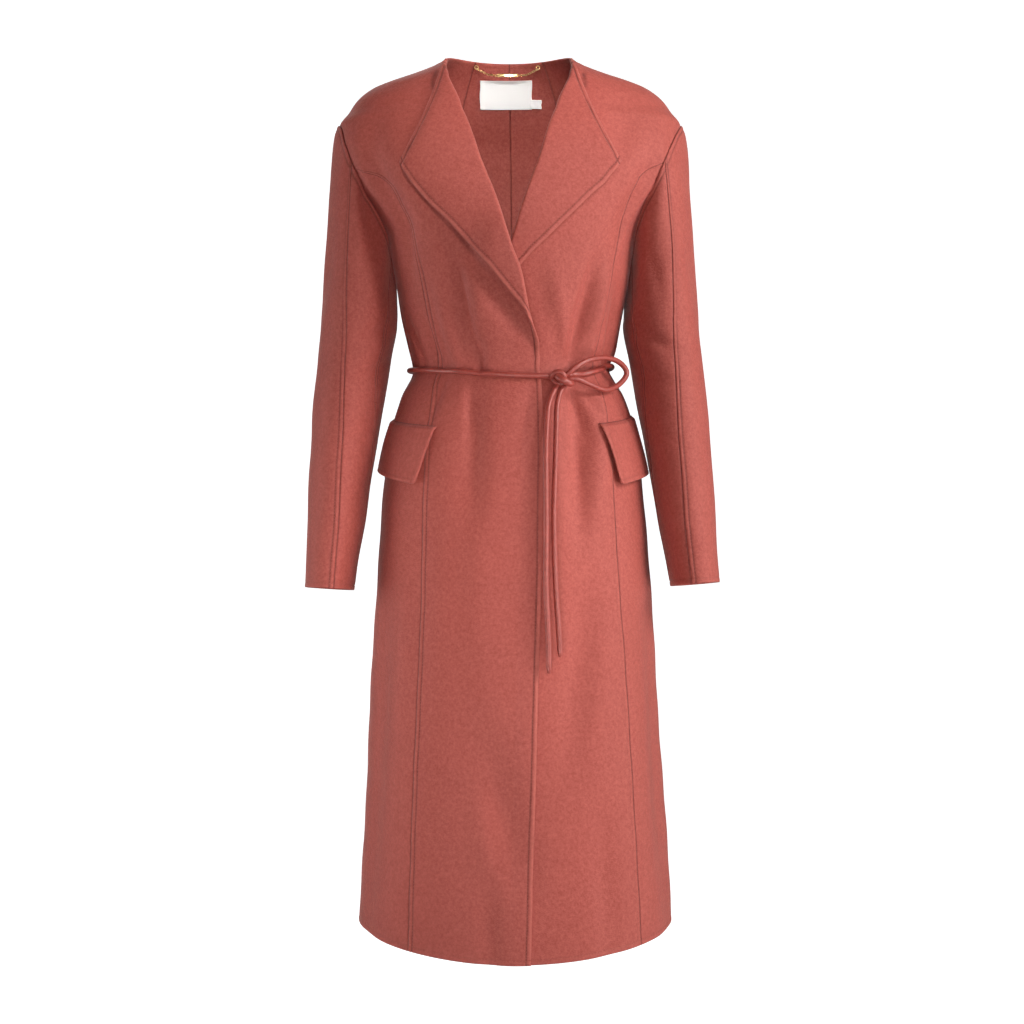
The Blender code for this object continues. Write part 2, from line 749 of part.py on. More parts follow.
def knot(finish):
    """A flattened ball with the grooves between its wraps."""
    made = bmesh.new()
    bmesh.ops.create_uvsphere(made, u_segments=20, v_segments=12, radius=1.0)
    for vert in made.verts:
        p = np.array(vert.co)
        groove = np.cos(3 * (p[0] * 1.5 + p[2] * 1.1)) * 0.09
        p = p * (0.93 + groove)
        vert.co = np.array(KNOT_AT) + p * KNOT_SIZE
    mesh = bpy.data.meshes.new("belt_knot")
    made.to_mesh(mesh)
    made.free()
    mesh.shade_smooth()
    return add("belt_knot", mesh, finish)


# The bow's loop and the two ends, from the knot: x, y, z
LOOP = [
    (0.0760, -0.1190, -0.4290), (0.0850, -0.1170, -0.4215), (0.0990, -0.1080, -0.4135),
    (0.1180, -0.0900, -0.4085), (0.1370, -0.0690, -0.4100), (0.1500, -0.0540, -0.4185),
    (0.1520, -0.0540, -0.4290), (0.1400, -0.0690, -0.4430), (0.1230, -0.0880, -0.4500),
    (0.1040, -0.1060, -0.4450), (0.0900, -0.1160, -0.4400), (0.0805, -0.1190, -0.4375),
]
TAIL_RIGHT = [
    (0.0612, -0.1147, -0.4455), (0.0568, -0.1215, -0.4550), (0.0525, -0.1275, -0.4720),
    (0.0500, -0.1330, -0.4950), (0.0480, -0.1420, -0.5400), (0.0480, -0.1520, -0.6200),
    (0.0470, -0.1575, -0.7000), (0.0495, -0.1605, -0.7700), (0.0500, -0.1620, -0.8130),
]
TAIL_LEFT = [
    (0.0690, -0.1147, -0.4460), (0.0652, -0.1210, -0.4560), (0.0630, -0.1270, -0.4750),
    (0.0620, -0.1330, -0.5000), (0.0600, -0.1410, -0.5500), (0.0575, -0.1500, -0.6200),
    (0.0590, -0.1545, -0.7000), (0.0625, -0.1580, -0.7600), (0.0640, -0.1590, -0.7920),
]

# The neck label and its size tab, inside the back: two edges across, top and
# bottom
LABEL = (-0.0437, 0.0293, -0.0210, -0.0500)
TAB = (0.0265, 0.0430, -0.0403, -0.0490)

RING_LEFT = (0.0372, 0.0617, 0.0060)
RING_RIGHT = (-0.0478, 0.0596, 0.0060)
RING_SIZE = (0.0030, 0.0006)
CHAIN = 0.0014
BAR = (0.0150, 0.0009, 0.0023)  # half of each
BAR_AT = (-0.0046, 0.0605, -0.0049)


def on_inside(edges, clear, thickness, columns, rows):
    x_1, x_2, top, bottom = edges
    z = np.linspace(top, bottom, rows)[:, None]
    turn = turn_at(np.linspace(x_1, x_2, columns)[None, :], z, behind=True)
    return cloth(turn, z, -(WALL / 2 + clear + thickness / 2))


def hanger(gold):
    """Two rings at the neck, a bar between them and chain to each ring."""
    for name, place in (("hanger_ring_left", RING_LEFT), ("hanger_ring_right", RING_RIGHT)):
        bpy.ops.mesh.primitive_torus_add(
            location=place, rotation=(np.pi / 2, 0, 0), major_radius=RING_SIZE[0],
            minor_radius=RING_SIZE[1], major_segments=14, minor_segments=6,
        )
        torus = bpy.context.object
        torus.name = name
        torus.data.materials.append(gold)
        for other in list(torus.users_collection):
            other.objects.unlink(torus)
        collection.objects.link(torus)
    bar = bmesh.new()
    bmesh.ops.create_cube(bar, size=2.0)
    for vert in bar.verts:
        vert.co = [a * b + c for a, b, c in zip(vert.co, BAR, BAR_AT)]
    mesh = bpy.data.meshes.new("hanger_bar")
    bar.to_mesh(mesh)
    bar.free()
    add("hanger_bar", mesh, gold)
    for name, ring_at, side in (("hanger_chain_left", RING_LEFT, 1), ("hanger_chain_right", RING_RIGHT, -1)):
        start = np.array(ring_at) + (-side * 0.0012, 0, -RING_SIZE[0] - RING_SIZE[1] - CHAIN / 2 - 0.0003)
        end = np.array(BAR_AT) + (side * (BAR[0] + CHAIN / 2 + 0.0003), 0, 0.0003)
        middle = mix(start, end, 0.5) - (0, 0, 0.0007)
        cord(name, smooth_path([start, middle, end], 7), CHAIN, gold)


def main():
    clear_scene()
    wool = material("wool", WOOL, 0.9)
    deep = material("wool in shade", WOOL_DEEP, 0.9)
    red = material("belt cord", CORD_RED, 0.75)
    ivory = material("woven label", IVORY, 0.7)
    gold = material("gold", GOLD, 0.3, 1.0)
    for side, word in ((-1, "right"), (1, "left")):
        panel(f"front_{word}", front(side), WALL, wool)
        panel(f"side_front_{word}", side_front(side), WALL, wool)
        panel(f"side_back_{word}", side_back(side), WALL, deep)
        panel(f"back_{word}", centre_back(side), WALL, wool)
        outer = sleeve(side, front_seam, lambda z: 360 + inner_seam(z), 14)
        inner = sleeve(side, inner_seam, front_seam, 9)
        panel(f"sleeve_top_{word}", outer, WALL, wool)
        panel(f"sleeve_under_{word}", inner, WALL, deep)
        panel(f"pocket_flap_{word}", flap(side), FLAP_WALL, wool)
    cord("belt_waist", belt_points(), CORD, red)
    knot(red)
    cord("belt_loop", smooth_path(LOOP, 26), CORD, red)
    cord("belt_end_right", smooth_path(TAIL_RIGHT, 24), CORD, red)
    cord("belt_end_left", smooth_path(TAIL_LEFT, 23), CORD, red)
    panel("neck_label", on_inside(LABEL, LABEL_CLEAR, LABEL_WALL, 8, 4), LABEL_WALL, ivory)
    panel("size_tab", on_inside(TAB, LABEL_CLEAR * 2 + LABEL_WALL, LABEL_WALL, 3, 3), LABEL_WALL, ivory)
    hanger(gold)


main()
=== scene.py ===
# %% [markdown]
# # A wool wrap coat
# The coat is cut from double-faced wool: one thick cloth, the same on both
# sides, with no lining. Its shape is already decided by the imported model, which
# is loaded first. Everything below makes the same coat again, piece by piece,
# with the detail that cloth has: felled seams, edges, stitches, creases and nap.

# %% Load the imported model
import bmesh
import bpy
import numpy as np
from mathutils import Matrix, Vector


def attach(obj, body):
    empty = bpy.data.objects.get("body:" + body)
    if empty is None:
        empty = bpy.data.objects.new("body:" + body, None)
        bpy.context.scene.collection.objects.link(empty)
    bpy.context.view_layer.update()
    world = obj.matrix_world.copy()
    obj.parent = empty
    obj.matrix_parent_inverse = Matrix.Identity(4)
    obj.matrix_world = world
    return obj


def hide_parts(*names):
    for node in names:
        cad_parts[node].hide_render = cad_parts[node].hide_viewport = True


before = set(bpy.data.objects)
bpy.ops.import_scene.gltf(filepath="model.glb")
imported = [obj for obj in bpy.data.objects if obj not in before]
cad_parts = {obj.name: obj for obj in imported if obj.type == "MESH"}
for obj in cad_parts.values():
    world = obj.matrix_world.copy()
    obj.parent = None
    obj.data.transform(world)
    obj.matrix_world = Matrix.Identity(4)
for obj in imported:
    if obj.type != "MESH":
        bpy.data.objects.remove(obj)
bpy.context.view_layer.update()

# %% [markdown]
# ## Camera and studio
# A catalogue shot: a long lens a little over two metres away, level with the
# middle of the coat. The floor runs up into a round wall on every side, like a
# photographer's cove, so that no corner or horizon shows from any angle. It is
# one line spun round the vertical axis.

# %% Camera
scene = bpy.context.scene
CAMERA_AT = (0.00135, -2.4, -0.609)
LENS, SENSOR = 62.5, 36.0

camera = bpy.data.objects.new("camera", bpy.data.cameras.new("camera"))
camera.data.lens = LENS
camera.data.sensor_width = SENSOR
camera.location = CAMERA_AT
camera.rotation_euler = (np.pi / 2, 0, 0)
scene.collection.objects.link(camera)
scene.camera = camera
print("camera at", CAMERA_AT)

# %% Helpers for plain finishes and for adding things
collection = bpy.data.collections.new("Coat")
scene.collection.children.link(collection)


def principled(name, **sockets):
    """A material with one Principled BSDF whose sockets are set by name."""
    made = bpy.data.materials.new(name)
    made.use_nodes = True
    shader = made.node_tree.nodes["Principled BSDF"]
    for socket, value in sockets.items():
        shader.inputs[socket.replace("_", " ")].default_value = value
    return made, shader


def put(name, data, finish):
    thing = bpy.data.objects.new(name, data)
    data.materials.append(finish)
    collection.objects.link(thing)
    return thing


def meshed(name, made, finish):
    """A finished bmesh as a smooth object."""
    mesh = bpy.data.meshes.new(name)
    made.to_mesh(mesh)
    made.free()
    mesh.shade_smooth()
    return put(name, mesh, finish)


# %% Floor and wall of the studio
# The paper glows a little for the camera alone, so that it stays white behind a
# coat that is lit from the side.
FLOOR_Z = -1.440
FLOOR_RADIUS, COVE_RADIUS, WALL_TOP = 3.2, 1.3, 2.6
PAPER_GLOW = 1.00

paper, paper_shader = principled(
    "studio paper", Base_Color=(0.45, 0.45, 0.45, 1), Roughness=0.95, Emission_Color=(1, 1, 1, 1),
)
seen = paper.node_tree.nodes.new("ShaderNodeLightPath")
glow = paper.node_tree.nodes.new("ShaderNodeMath")
glow.operation = "MULTIPLY"
glow.inputs[1].default_value = PAPER_GLOW
paper.node_tree.links.new(seen.outputs["Is Camera Ray"], glow.inputs[0])
paper.node_tree.links.new(glow.outputs["Value"], paper_shader.inputs["Emission Strength"])
made = bmesh.new()
angles = np.linspace(0, np.pi / 2, 13)
profile = [(0.0, FLOOR_Z), (FLOOR_RADIUS, FLOOR_Z)]
profile += [
    (FLOOR_RADIUS + COVE_RADIUS * np.sin(a), FLOOR_Z + COVE_RADIUS * (1 - np.cos(a)))
    for a in angles[1:]
]
profile += [(FLOOR_RADIUS + COVE_RADIUS, WALL_TOP)]
line = [made.verts.new((r, 0, z)) for r, z in profile]
edges = [made.edges.new(pair) for pair in zip(line, line[1:])]
bmesh.ops.spin(
    made, geom=line + edges, cent=(0, 0, 0), axis=(0, 0, 1),
    angle=2 * np.pi, steps=64, use_merge=True,
)
bmesh.ops.remove_doubles(made, verts=made.verts, dist=0.0001)
bmesh.ops.recalc_face_normals(made, faces=made.faces)
cove = meshed("studio_cove", made, paper)
print("floor at", FLOOR_Z)

# %% Lights
# A key high on the right, one lower down beside it, two narrow ones that look
# into the neck and at the waist, a weak one from below for the skirt, one on the
# left and one behind.
LIGHTS = {  # place, aim, size, power and, in degrees, the width of its beam
    "key": ((1.90, -1.10, 0.60), (0.05, 0.0, -0.45), 0.9, 40.0, 180),
    "low": ((2.10, -0.70, -0.90), (0.0, 0.0, -0.80), 1.2, 22.0, 180),
    "neck": ((0.15, -1.90, 0.60), (0.0, 0.05, -0.09), 0.4, 0.38, 13),
    "waist": ((0.80, -1.95, -0.45), (-0.12, 0.0, -0.57), 0.4, 0.18, 14),
    "skirt": ((-0.30, -1.70, -1.40), (-0.06, 0.0, -1.02), 0.8, 2.3, 46),
    "left": ((-2.20, -0.20, -0.60), (0.0, 0.0, -0.80), 1.2, 18.5, 180),
    "back": ((-0.60, 2.30, 1.20), (0.0, 0.0, -0.50), 1.4, 20.0, 180),
}
for name, (place, aim, size, power, beam) in LIGHTS.items():
    lamp = bpy.data.lights.new(name, "AREA")
    lamp.size = size
    lamp.energy = power
    lamp.spread = np.radians(beam)
    thing = bpy.data.objects.new(name, lamp)
    thing.visible_camera = False
    thing.location = place
    thing.rotation_euler = (Vector(aim) - Vector(place)).to_track_quat("-Z", "Y").to_euler()
    scene.collection.objects.link(thing)

SKY = 0.03
world = bpy.data.worlds.new("studio sky")
world.use_nodes = True
world.node_tree.nodes["Background"].inputs["Color"].default_value = (1.0, 0.985, 0.97, 1)
world.node_tree.nodes["Background"].inputs["Strength"].default_value = SKY
scene.world = world
scene.view_settings.view_transform = "Standard"
print("lights", ", ".join(LIGHTS))

# %% [markdown]
# ## Finishes
# Wool: thousands of short fibres felted over a fine diagonal weave. Close up
# there is a pebbled grain, from further off a faint mottling, and at a glancing
# angle the fibre ends catch the light, which is what Sheen is for. The grain is
# used by the cloth and by the belt, so it is a node group that puts out a shade
# and a height. The twill follows the cloth, so it reads the piece's UV map,
# which is in metres along the cut cloth.

# %% A helper that wires nodes
def node(tree, kind, inputs=None, **settings):
    """Adds a node. A value in inputs may be a number or another socket."""
    made = tree.nodes.new(kind)
    for key, value in settings.items():
        setattr(made, key, value)
    for key, value in (inputs or {}).items():
        if isinstance(value, bpy.types.NodeSocket):
            tree.links.new(value, made.inputs[key])
        else:
            made.inputs[key].default_value = value
    return made


def group(name, ins, outs):
    """An empty node group with named float sockets."""
    tree = bpy.data.node_groups.new(name, "ShaderNodeTree")
    for label, default in ins.items():
        socket = tree.interface.new_socket(label, in_out="INPUT", socket_type="NodeSocketFloat")
        socket.default_value = default
    for label in outs:
        tree.interface.new_socket(label, in_out="OUTPUT", socket_type="NodeSocketFloat")
    return tree, tree.nodes.new("NodeGroupInput"), tree.nodes.new("NodeGroupOutput")


def noise(tree, place, scale, detail=2.0, **more):
    """The values of a noise texture read at place."""
    return node(
        tree, "ShaderNodeTexNoise", {"Vector": place, "Scale": scale, "Detail": detail, **more},
    ).outputs["Fac"]


def blend(tree, factor, a, b, kind="FLOAT"):
    """A mix of two values, or of two colours where kind is RGBA."""
    return node(tree, "ShaderNodeMix", {"Factor": factor, "A": a, "B": b}, data_type=kind).outputs["Result"]


# %% Node group: the felted grain of wool
def felt_group():
    tree, given, result = group(
        "felted grain",
        {"Grain": 430.0, "Mottle": 26.0, "Clouds": 5.0},
        ["Shade", "Height"],
    )
    place = node(tree, "ShaderNodeTexCoord").outputs["Object"]
    fine = noise(tree, place, given.outputs["Grain"], 3.0, Roughness=0.65)
    pebble = noise(tree, place, 210.0)
    mottle = noise(tree, place, given.outputs["Mottle"], 3.0)
    cloud = noise(tree, place, given.outputs["Clouds"], 1.0)
    close_up = blend(tree, 0.45, fine, pebble)
    far_off = blend(tree, 0.40, mottle, cloud)
    tree.links.new(blend(tree, 0.09, close_up, far_off), result.inputs["Shade"])
    tree.links.new(close_up, result.inputs["Height"])
    return tree


felted = felt_group()
print("group", felted.name)


# %% Node group: a fine diagonal twill under the nap
TWILL_ANGLE = 0.95  # radians from the weft


def twill_group():
    tree, given, result = group("twill", {"Lines": 150.0, "Slub": 160.0}, ["Height"])
    uv = node(tree, "ShaderNodeUVMap", uv_map="cloth").outputs["UV"]
    turned = node(tree, "ShaderNodeMapping", {"Vector": uv, "Rotation": (0.0, 0.0, TWILL_ANGLE)})
    slub = noise(tree, uv, given.outputs["Slub"])
    wave = node(
        tree, "ShaderNodeTexWave",
        {"Vector": turned.outputs["Vector"], "Scale": given.outputs["Lines"], "Distortion": 6.0, "Detail": 3.0},
        bands_direction="X",
    )
    broken = node(tree, "ShaderNodeMath", {0: wave.outputs["Fac"], 1: slub}, operation="MULTIPLY")
    tree.links.new(broken.outputs["Value"], result.inputs["Height"])
    return tree


twill = twill_group()
print("group", twill.name)


# %% The wool itself
# A point attribute of the cloth paints light and shade into its colour: at 1 it is
# painted shade in the bottom of a sewn groove, at 0 nothing, and below 0 it is a
# painted highlight on a raised edge, band or roll crown.
WOOL_DEEP = (0.345, 0.053, 0.038, 1)
WOOL_LIGHT = (0.480, 0.096, 0.071, 1)
# painted shade: the dark colour for the bottom of a sewn groove
WOOL_PAINTED_SHADE = (0.085, 0.007, 0.005, 1)
# painted highlight: the paler colour for raised edges, bands and the roll's crown
WOOL_PAINTED_HIGHLIGHT = (0.580, 0.145, 0.108, 1)
WOOL_GLOSS = {
    "Roughness": 0.68, "Sheen_Weight": 0.20, "Sheen_Roughness": 0.35, "Sheen_Tint": (1.0, 0.92, 0.88, 1),
    "Specular_IOR_Level": 0.60, "Specular_Tint": (1.0, 0.86, 0.82, 1),
}
TWILL_SHARE = 0.22  # how deep the twill is beside the grain


def wool_finish(name, deep, light, grain=430.0, relief=0.0016, weave=True, **gloss):
    made, shader = principled(name, **{**WOOL_GLOSS, **gloss})
    tree = made.node_tree
    nap = node(tree, "ShaderNodeGroup", node_tree=felted)
    nap.inputs["Grain"].default_value = grain
    shade = nap.outputs["Shade"]
    spread = node(tree, "ShaderNodeMapRange", {"Value": shade, "From Min": 0.36, "From Max": 0.64})
    groove = node(tree, "ShaderNodeAttribute", attribute_name="groove").outputs["Fac"]
    down = node(tree, "ShaderNodeMapRange", {"Value": groove, "From Max": 1.0, "To Max": 0.9})
    up = node(tree, "ShaderNodeMapRange", {"Value": groove, "From Min": 0.0, "From Max": -1.0, "To Max": 0.6})
    colour = blend(tree, spread.outputs["Result"], deep, light, "RGBA")
    # painted shade in the grooves
    colour = blend(tree, down.outputs["Result"], colour, WOOL_PAINTED_SHADE, "RGBA")
    # painted highlight where the attribute is below 0
    colour = blend(tree, up.outputs["Result"], colour, WOOL_PAINTED_HIGHLIGHT, "RGBA")
    tree.links.new(colour, shader.inputs["Base Color"])
    height = nap.outputs["Height"]
    if weave:
        lines = node(tree, "ShaderNodeGroup", node_tree=twill).outputs["Height"]
        height = node(
            tree, "ShaderNodeMath", {0: lines, 1: TWILL_SHARE, 2: height}, operation="MULTIPLY_ADD",
        ).outputs["Value"]
    bump = node(tree, "ShaderNodeBump", {"Height": height, "Strength": 0.55, "Distance": relief})
    tree.links.new(bump.outputs["Normal"], shader.inputs["Normal"])
    return made


def thread_finish(name, deep, pale, twist, roughness):
    """Sewing thread, darker and paler along its twist."""
    made, shader = principled(name, Roughness=roughness)
    tree = made.node_tree
    place = node(tree, "ShaderNodeTexCoord").outputs["Object"]
    colour = blend(tree, noise(tree, place, twist, 1.0), deep, pale, "RGBA")
    tree.links.new(colour, shader.inputs["Base Color"])
    return made


wool = wool_finish("dusty rose wool", WOOL_DEEP, WOOL_LIGHT)
cord_wool = wool_finish(
    "belt cord wool", (0.280, 0.034, 0.025, 1), (0.420, 0.070, 0.050, 1), grain=1500.0, relief=0.00022,
    weave=False, Sheen_Weight=0.06, Roughness=0.42, Specular_IOR_Level=0.8,
)
thread = thread_finish("rose thread", (0.30, 0.062, 0.048, 1), (0.56, 0.16, 0.12, 1), 2600.0, 0.7)
ivory_thread = thread_finish("ivory thread", (0.62, 0.54, 0.44, 1), (0.90, 0.84, 0.76, 1), 3000.0, 0.55)
print("finishes", wool.name, cord_wool.name, thread.name, ivory_thread.name)


# %% Ivory ribbon for the label, and gilt metal for the chain
def label_finish():
    """Damask ribbon: fine ribs one way, finer ones the other. Its slight glow is
    painted light, which keeps the ribbon white in the shade inside the neck."""
    made, shader = principled(
        "ivory woven ribbon", Roughness=0.5, Sheen_Weight=0.15, Sheen_Roughness=0.3,
        Emission_Color=(1.0, 0.97, 0.93, 1), Emission_Strength=0.24,
    )
    tree = made.node_tree
    uv = node(tree, "ShaderNodeUVMap", uv_map="cloth").outputs["UV"]
    ribs, warp = (
        node(
            tree, "ShaderNodeTexWave", {"Vector": uv, "Scale": scale, "Distortion": 0.6}, bands_direction=way,
        ).outputs["Fac"]
        for scale, way in ((420.0, "Y"), (640.0, "X"))
    )
    both = node(tree, "ShaderNodeMath", {0: ribs, 1: warp}, operation="MULTIPLY").outputs["Value"]
    soil = noise(tree, uv, 70.0, 3.0)
    shade = node(tree, "ShaderNodeMath", {0: both, 1: soil}, operation="ADD").outputs["Value"]
    colour = blend(tree, shade, (0.93, 0.90, 0.86, 1), (0.99, 0.97, 0.94, 1), "RGBA")
    tree.links.new(colour, shader.inputs["Base Color"])
    bump = node(tree, "ShaderNodeBump", {"Height": both, "Strength": 0.4, "Distance": 0.0002})
    tree.links.new(bump.outputs["Normal"], shader.inputs["Normal"])
    return made


def gilt_finish():
    """Pale gold plate, finely scratched and duller in the scratches."""
    made, shader = principled("pale gilt", Metallic=1.0, Specular_IOR_Level=0.5)
    tree = made.node_tree
    place = node(tree, "ShaderNodeTexCoord").outputs["Object"]
    long_way = node(tree, "ShaderNodeMapping", {"Vector": place, "Scale": (120.0, 1500.0, 1500.0)})
    scratch = noise(tree, long_way.outputs["Vector"], 1.0, 4.0)
    colour = blend(tree, noise(tree, place, 240.0), (0.62, 0.38, 0.13, 1), (0.84, 0.60, 0.28, 1), "RGBA")
    dull = node(tree, "ShaderNodeMapRange", {"Value": scratch, "To Min": 0.16, "To Max": 0.42})
    tree.links.new(colour, shader.inputs["Base Color"])
    tree.links.new(dull.outputs["Result"], shader.inputs["Roughness"])
    bump = node(tree, "ShaderNodeBump", {"Height": scratch, "Strength": 0.15, "Distance": 0.0001})
    tree.links.new(bump.outputs["Normal"], shader.inputs["Normal"])
    return made


ivory, gilt = label_finish(), gilt_finish()
print("finishes", ivory.name, gilt.name)

# %% [markdown]
# ## The bow and the ends of the belt
# Past the knot the belt is free: one loop of the bow stands out to the side and
# two ends hang down the skirt. A free cord is a line of given points, with a
# smooth curve through them, so that it hangs as a limp cord does. Each
# end is tucked in and closed, so it narrows in its last few millimetres.

# %% A smooth cord through a few points
CORD = 0.0072
CLOSING = (1.0, 0.96, 0.86, 0.68, 0.38)  # how a closed end narrows, point by point


def smooth_path(points, count):
    """A Catmull-Rom line through points, evenly spaced along itself."""
    p = np.array(points, float)
    p = np.vstack([2 * p[0] - p[1], p, 2 * p[-1] - p[-2]])
    t = np.linspace(0, 1, 24, endpoint=False)[:, None]
    fine = [
        0.5 * (2 * b + (c - a) * t + (2 * a - 5 * b + 4 * c - d) * t**2 + (3 * b - a - 3 * c + d) * t**3)
        for a, b, c, d in zip(p, p[1:], p[2:], p[3:])
    ]
    fine = np.vstack(fine + [p[-2:-1]])
    length = np.concatenate([[0], np.cumsum(np.linalg.norm(np.diff(fine, axis=0), axis=1))])
    at = np.linspace(0, length[-1], count)
    return np.stack([np.interp(at, length, fine[:, i]) for i in range(3)], axis=1)


def cord_piece(name, *paths, diameter=CORD, closed_end=False, plump=0.0):
    """One or more lengths of the belt as a single bevelled curve. The middle
    of the last length can be plumper than the rest."""
    curve = bpy.data.curves.new(name, "CURVE")
    curve.dimensions = "3D"
    curve.bevel_depth = diameter / 2
    curve.bevel_resolution = 6
    curve.use_fill_caps = True
    for which, path in enumerate(paths, 1):
        line = curve.splines.new("POLY")
        line.points.add(len(path) - 1)
        fuller = plump * (which == len(paths)) * np.sin(np.pi * np.linspace(0, 1, len(path)))
        for point, place, more in zip(line.points, path, fuller):
            point.co = (*place, 1)
            point.radius = 1.0 + more
        if closed_end:
            for point, share in zip(list(line.points)[-len(CLOSING) :], CLOSING):
                point.radius = share
    thing = put(name, curve, cord_wool)
    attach(thing, "coat")
    return thing


# %% The bow's loop and the two hanging ends
LOOP = [
    (0.0685, -0.1175, -0.4350), (0.0755, -0.1192, -0.4295), (0.0850, -0.1170, -0.4215),
    (0.0990, -0.1080, -0.4135), (0.1180, -0.0900, -0.4085), (0.1370, -0.0690, -0.4100),
    (0.1500, -0.0540, -0.4185),
    (0.1520, -0.0540, -0.4290), (0.1400, -0.0690, -0.4430), (0.1230, -0.0880, -0.4500),
    (0.1040, -0.1060, -0.4450), (0.0900, -0.1160, -0.4400), (0.0805, -0.1190, -0.4378),
    (0.0725, -0.1185, -0.4385),
]
TAIL_RIGHT = [
    (0.0612, -0.1147, -0.4455), (0.0547, -0.1215, -0.4550), (0.0483, -0.1275, -0.4720),
    (0.0460, -0.1330, -0.4950), (0.0443, -0.1420, -0.5400), (0.0448, -0.1520, -0.6200),
    (0.0443, -0.1575, -0.7000), (0.0473, -0.1605, -0.7700), (0.0478, -0.1620, -0.8130),
]
TAIL_LEFT = [
    (0.0690, -0.1147, -0.4460), (0.0631, -0.1210, -0.4560), (0.0588, -0.1270, -0.4750),
    (0.0580, -0.1330, -0.5000), (0.0564, -0.1410, -0.5500), (0.0544, -0.1500, -0.6200),
    (0.0565, -0.1545, -0.7000), (0.0604, -0.1580, -0.7600), (0.0620, -0.1590, -0.7920),
]
LOOP_LENGTH, RIGHT_END_LENGTH, LEFT_END_LENGTH = 0.243, 0.376, 0.353

for name, node_name, points, count, length, far_end in (
    ("bow_loop", "belt_loop", LOOP, 90, LOOP_LENGTH, "object"),
    ("belt_right_end", "belt_end_right", TAIL_RIGHT, 190, RIGHT_END_LENGTH, "bare"),
    ("belt_left_end", "belt_end_left", TAIL_LEFT, 180, LEFT_END_LENGTH, "bare"),
):
    path = smooth_path(points, count)
    cord = cord_piece(name, path, closed_end=far_end == "bare")
    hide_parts(node_name)
    print(name, round(float(np.linalg.norm(np.diff(path, axis=0), axis=1).sum()), 4), "m")

# %% [markdown]
# ## The knot
# The knot is the same cord wound on itself: the belt comes in from the side and
# arches up and over, a fat diagonal turn crosses in front of it, and a third
# turn behind fills the middle. Each strand is a few points of its own.

# %% Wind the knot
KNOT_STRANDS = [
    [  # the arch over the top
        (0.0520, -0.1110, -0.4370), (0.0532, -0.1165, -0.4335), (0.0570, -0.1195, -0.4300),
        (0.0625, -0.1212, -0.4294), (0.0672, -0.1215, -0.4325), (0.0690, -0.1195, -0.4375),
        (0.0690, -0.1140, -0.4415),
    ],
    [  # the turn behind
        (0.0560, -0.1120, -0.4330), (0.0552, -0.1130, -0.4380), (0.0600, -0.1150, -0.4430),
        (0.0680, -0.1160, -0.4440), (0.0730, -0.1150, -0.4400), (0.0760, -0.1150, -0.4340),
        (0.0750, -0.1130, -0.4300),
    ],
    [  # the fat diagonal turn in front
        (0.0605, -0.1120, -0.4325), (0.0596, -0.1190, -0.4345), (0.0632, -0.1240, -0.4378),
        (0.0690, -0.1252, -0.4412), (0.0746, -0.1225, -0.4438), (0.0776, -0.1165, -0.4436),
        (0.0760, -0.1095, -0.4400),
    ],
]
knot = cord_piece("belt_knot_turns", *[smooth_path(strand, 40) for strand in KNOT_STRANDS], plump=0.34)
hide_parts("belt_knot")
print("knot", len(KNOT_STRANDS), "turns")

# %% [markdown]
# ## The coat as a surface
# The coat hangs as if someone wore it. A ring at each height gives half its
# width and how far it reaches forward and back; degrees round from the centre
# front say where on that ring a point lies. These are the numbers that the
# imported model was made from, so the cloth lies where its solids are. The
# difference is in the fineness: rows every few millimetres instead of every few
# centimetres, a neck edge that rises smoothly at the back, deeper folds, and
# small creases added to them.


# %% Tables and smooth lines through them
def table(text):
    """Named columns of numbers, kept in rising order of the first."""
    names, *rows = [line.split() for line in text.strip().splitlines()]
    numbers = np.array(sorted([float(cell) for cell in row] for row in rows))
    return names, numbers


def follow(rows, column, at):
    """A smooth line through one column that never overshoots its rows."""
    names, numbers = rows
    x, y = numbers[:, 0], numbers[:, names.index(column)]
    gap = np.diff(x)
    rise = np.diff(y) / gap
    before, after = 2 * gap[1:] + gap[:-1], gap[1:] + 2 * gap[:-1]
    turning = rise[:-1] * rise[1:] <= 0
    some = np.where(rise == 0, 1e-12, rise)
    both = (before + after) / (before / some[:-1] + after / some[1:])
    slope = np.concatenate([rise[:1], np.where(turning, 0.0, both), rise[-1:]])
    at = np.clip(np.asarray(at, float), x[0], x[-1])
    i = np.clip(np.searchsorted(x, at, side="right") - 1, 0, len(x) - 2)
    t = (at - x[i]) / gap[i]
    return (
        y[i] * (1 + 2 * t) * (1 - t) ** 2
        + slope[i] * gap[i] * t * (1 - t) ** 2
        + y[i + 1] * t * t * (3 - 2 * t)
        + slope[i + 1] * gap[i] * t * t * (t - 1)
    )


def ease(t):
    t = np.clip(t, 0.0, 1.0)
    return t * t * (3 - 2 * t)


def mix(a, b, t):
    return a + (b - a) * t


